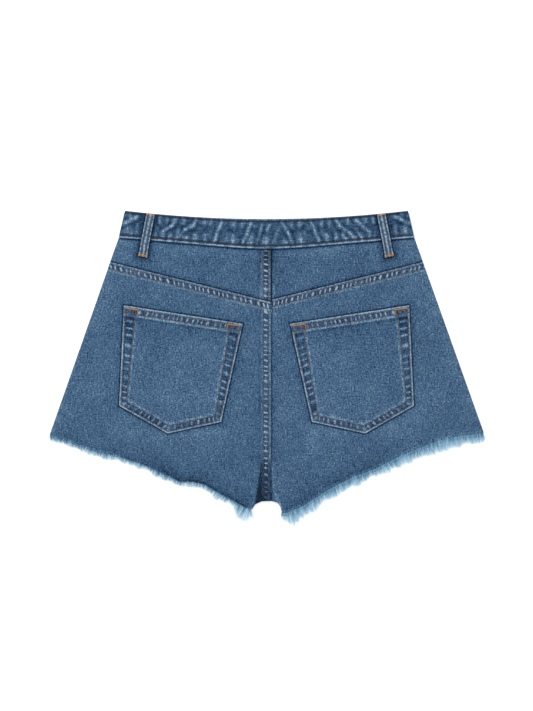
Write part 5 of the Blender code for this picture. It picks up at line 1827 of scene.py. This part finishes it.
# On each face: its hems, its surface, the strip's height over that, the tips' level, the fold at the side
# and its end's level
FRINGES = {
    "back": (BACK_HEMS, back_level, -0.0002, 0.0016, BACK_FOLD, FOLD_LEVEL),
    "front": (FRONT_HEMS, front_level, FRONT_CLEAR + 0.0009, 0.0004, FRONT_FOLD, FOLD_LEVEL - FOLD_GAP),
}


def fray(side, sign, face):
    """A strip of loosened cloth along one hem, with yarns and fine fibres growing out of it in locks."""
    sizes = bpy.context.scene.shorts_sizes
    on_back = face == "back"
    hems, surface, over, tip_level, fold, end_level = FRINGES[face]
    rng = np.random.default_rng(7 + int(sign) + 10 * (not on_back))
    grid, drop, turn = fray_line(hems[sign])

    def edge(a, out):
        """Points at a along the hem and out past it, and the thread direction there."""
        angle = np.interp(a, grid, turn)
        x = sign * (a - np.sin(angle) * out)
        v = np.interp(a, grid, drop) + np.cos(angle) * out
        z = end_level + (surface(x, v) + over - end_level) * fold_rise(HEM_HALF - a, fold)
        return x, v, z, angle

    outs = np.linspace(GAP, STRIP_DEPTHS[sign], CELL + 1)[:, None]
    columns = stations(STRIP_ENDS, (STRIP_CELLS * CELL,))
    x, v, z, _ = edge(columns + 0.0 * outs, outs * (1.0 + 0.25 * np.sin(columns * 1900.0)))
    (points,) = mirrored(sign, placed(x, v, z - STRIP_THINNING[:, None]))
    inner = inner_face(points, STRIP_WALL)
    outer_quads, inner_quads, rims = wall_faces(*points.shape[:2], *inner.shape[:2])
    strip = np.concatenate([points.reshape(-1, 3), inner.reshape(-1, 3)])
    uneven = np.sin(strip[:, 0] * 2900.0 + 2.0 * np.sin(strip[:, 0] * 610.0))
    blocks, tips, tones = [strip], [np.full(len(strip), 0.10)], [0.5 * uneven]
    triangles, quads = [], [outer_quads, inner_quads]
    first = len(strip)

    ragged, pitch, lap = LOCKS[sign]
    lock_a = np.arange(*STRIP_ENDS, pitch)
    locks = len(lock_a)
    lock_a = lock_a + rng.uniform(-0.3, 0.3, locks) * pitch
    lock_lean = rng.normal(0.0, 0.08 + 0.18 * ragged, locks)
    lock_long = 1.12 + ragged * rng.uniform(-1.0, 1.0, locks)
    lock_long = lock_long * (1.0 + 0.24 * np.sin(lock_a * 330.0 + sign) * np.sin(lock_a * 130.0))
    lock_tone = rng.normal(0.0, 0.28, locks)
    wisp_tone = np.clip(rng.normal(0.02, 0.90, 1 + int(HEM_HALF / WISP)), -0.50, 1.5)
    for count, width, keep, spread in (
        (sizes.yarns, sizes.yarn, 0.96, 0.05),
        (sizes.fibres, sizes.fuzz, 1.06, 0.26),
    ):
        count = count if on_back else count // 2
        lock = rng.integers(0, locks, count)
        away = rng.uniform(-0.55, 0.55, count) * pitch
        a = np.clip(lock_a[lock] + away, *STRIP_ENDS)
        reach = np.interp(a, *FRAYS[sign].T)
        inside = (rng.uniform(size=count) < ROOTED_INSIDE) & on_back
        back_set = np.where(inside, -lap * rng.uniform(0.0, 1.0, count) ** 1.4, ROOT_OUT)
        x, v, z, angle = edge(a, back_set)
        lift = np.where(back_set < 0.0, 0.00022, -0.0004)
        gather = np.arctan(0.40 * away / reach)
        lean = lock_lean[lock] - sign * gather + rng.normal(0.0, spread, count)
        heading = -angle * sign + lean
        aim = vectors(np.sin(heading), -np.cos(heading), 0.0)
        across = vectors(-aim[:, 1], aim[:, 0], 0.0)
        short = rng.beta(3.2, 1.6, count)
        length = np.minimum(reach * lock_long[lock] * (0.56 + 0.54 * short) * keep, LONGEST * reach)
        length += np.maximum(-back_set, 0.0)
        bend = rng.normal(0.0, 0.08, count) + rng.normal(0.0, 0.12, locks)[lock]
        curl = rng.uniform(0.0, 0.00035, count) * (1.0 + 1.5 * (width < FINE))
        sink = np.minimum((z - tip_level) * limit(length / SINK_REACH), z - tip_level + lift)
        widths = width * rng.uniform(0.75, 1.2, count)
        block = fibre_points(placed(x, v, z + lift), aim, across, length, bend, curl, widths, sink)
        block[..., 2] = np.maximum(block[..., 2], THREAD_FLOOR)
        quad, triangle = fibre_faces(count, first)
        quads.append(quad)
        triangles.append(triangle)
        first += block.shape[0] * block.shape[1]
        blocks.append(block.reshape(-1, 3))
        along = np.append(np.repeat(FIBRE_SHARES, 3), 1.0)
        tip = (along * length[:, None] + back_set[:, None]) / reach[:, None]
        tips.append(np.clip(tip, 0.0, 1.0).ravel())
        own = lock_tone[lock] + wisp_tone[(a / WISP).astype(int)] + rng.normal(0.0, 0.45, count)
        own += (0.9 if sign < 0 else 0.2) * bell(a - 0.024, 0.012)
        tones.append(np.repeat(own, len(along)))
    faces = [np.concatenate(quads), rims, np.concatenate(triangles)]
    mesh = make_mesh(f"frayed_{face}_{side}", np.concatenate(blocks), faces)
    set_attribute(mesh, "tip", np.concatenate(tips))
    set_attribute(mesh, "tone", np.concatenate(tones))
    place(mesh, "frayed yarn", "fray", f"fray_{face}_{side}")


# Floor, light and camera


def stage():
    """The pale floor, a soft white sky, two round lamps that face the shorts, and the camera."""
    scene = bpy.context.scene
    sizes, colours = scene.shorts_sizes, scene.shorts_colours
    corners = np.array([(-1, -1), (1, -1), (1, 1), (-1, 1)]) * FLOOR_HALF
    points = np.column_stack([corners, np.full(4, FLOOR_LEVEL)])
    mesh = make_mesh("floor", points, [np.array([(0, 1, 2, 3)])])
    graph = Graph("pale floor")
    graph.glow((1.0, 1.0, 1.0), 0.35)
    mesh.materials.append(graph.finish(colours.floor, 0.9))
    add("floor", mesh)

    scene.world = bpy.data.worlds.new("studio")
    scene.world.use_nodes = True
    sky = scene.world.node_tree.nodes["Background"].inputs
    sky["Color"].default_value = (1.0, 1.0, 1.0, 1.0)
    sky["Strength"].default_value = 0.72

    for name, location, size, watts in (
        ("key", (-0.9, 1.3, 1.7), 0.9, 26.0),
        ("fill", (1.4, -0.9, 1.9), 1.6, 8.0),
    ):
        light = bpy.data.lights.new(name, "AREA")
        light.shape, light.size, light.energy = "DISK", size, watts
        lamp = add(name, light)
        lamp.location = location
        lamp.rotation_euler = (-lamp.location).to_track_quat("-Z", "Y").to_euler()

    camera = bpy.data.cameras.new("camera")
    camera.lens = camera.sensor_width * sizes.camera_height / sizes.view_length
    camera.clip_end = 20.0
    scene.camera = add("camera", camera)
    scene.camera.location = (0.0, WAIST_LINE - VIEW_DROP, sizes.camera_height)
    scene.view_settings.view_transform = "Standard"


# Operators


def each_side(make, *faces):
    """Makes a piece on the left half and then on the right one, or one on each of the given faces."""
    for side, sign in SIDES:
        for face in faces or (None,):
            make(side, sign, face) if face else make(side, sign)
    return {"FINISHED"}


class SHORTS_OT_stage(bpy.types.Operator):
    """The pale floor, the soft light and the camera straight above"""

    bl_idname = "shorts.stage"
    bl_label = "Floor, light and camera"

    def execute(self, context):
        stage()
        return {"FINISHED"}


class SHORTS_OT_back_panels(bpy.types.Operator):
    """Both back leg panels"""

    bl_idname = "shorts.back_panels"
    bl_label = "Back panels"

    def execute(self, context):
        return each_side(back_panel)


class SHORTS_OT_yokes(bpy.types.Operator):
    """Both yokes between the waistband and the back panels"""

    bl_idname = "shorts.yokes"
    bl_label = "Yokes"

    def execute(self, context):
        return each_side(yoke)


class SHORTS_OT_pockets(bpy.types.Operator):
    """Both patch pockets"""

    bl_idname = "shorts.pockets"
    bl_label = "Patch pockets"

    def execute(self, context):
        return each_side(pocket)


class SHORTS_OT_waistband(bpy.types.Operator):
    """The waistband, all round"""

    bl_idname = "shorts.waistband"
    bl_label = "Waistband"

    def execute(self, context):
        waistband()
        return {"FINISHED"}


class SHORTS_OT_belt_loops(bpy.types.Operator):
    """The belt loops of the back and the front"""

    bl_idname = "shorts.belt_loops"
    bl_label = "Belt loops"

    def execute(self, context):
        return each_side(belt_loop, "back", "front")


class SHORTS_OT_front(bpy.types.Operator):
    """The front leg panels and the shield behind the fly"""

    bl_idname = "shorts.front"
    bl_label = "Front panels"

    def execute(self, context):
        each_side(front_panel)
        fly_shield()
        return {"FINISHED"}


class SHORTS_OT_fastenings(bpy.types.Operator):
    """The waist button and the zip"""

    bl_idname = "shorts.fastenings"
    bl_label = "Button and zip"

    def execute(self, context):
        waist_button()
        zip_fastener()
        return {"FINISHED"}


class SHORTS_OT_fraying(bpy.types.Operator):
    """The frayed hems of both legs, back and front"""

    bl_idname = "shorts.fraying"
    bl_label = "Frayed hems"

    def execute(self, context):
        return each_side(fray, "back", "front")


class SHORTS_OT_sewing(bpy.types.Operator):
    """Every row of stitching and every bar tack"""

    bl_idname = "shorts.sewing"
    bl_label = "Sewing"

    def execute(self, context):
        for name, sew in SEWN.items():
            sewing = Sewing(f"sewing_{name}")
            sew(sewing)
            sewing.finish()
        return {"FINISHED"}


class SHORTS_PT_panel(bpy.types.Panel):
    """Lists every step and size of the shorts"""

    bl_idname = "SHORTS_PT_panel"
    bl_label = "Denim shorts"
    bl_space_type = "VIEW_3D"
    bl_region_type = "UI"
    bl_category = "Shorts"

    def draw(self, context):
        for operator in OPERATORS:
            self.layout.operator(operator.bl_idname)
        for group in (context.scene.shorts_sizes, context.scene.shorts_colours):
            for name in group.__annotations__:
                self.layout.prop(group, name)


OPERATORS = (
    SHORTS_OT_stage,
    SHORTS_OT_back_panels,
    SHORTS_OT_yokes,
    SHORTS_OT_pockets,
    SHORTS_OT_waistband,
    SHORTS_OT_belt_loops,
    SHORTS_OT_front,
    SHORTS_OT_fastenings,
    SHORTS_OT_fraying,
    SHORTS_OT_sewing,
)
CLASSES = (ShortsSizes, ShortsColours, *OPERATORS, SHORTS_PT_panel)


def register():
    for each in CLASSES:
        bpy.utils.register_class(each)
    bpy.types.Scene.shorts_sizes = bpy.props.PointerProperty(type=ShortsSizes)
    bpy.types.Scene.shorts_colours = bpy.props.PointerProperty(type=ShortsColours)


def unregister():
    del bpy.types.Scene.shorts_colours
    del bpy.types.Scene.shorts_sizes
    for each in reversed(CLASSES):
        bpy.utils.unregister_class(each)


def main():
    register()
    for operator in OPERATORS:
        group, name = operator.bl_idname.split(".")
        getattr(getattr(bpy.ops, group), name)()


if __name__ == "__main__":
    main()
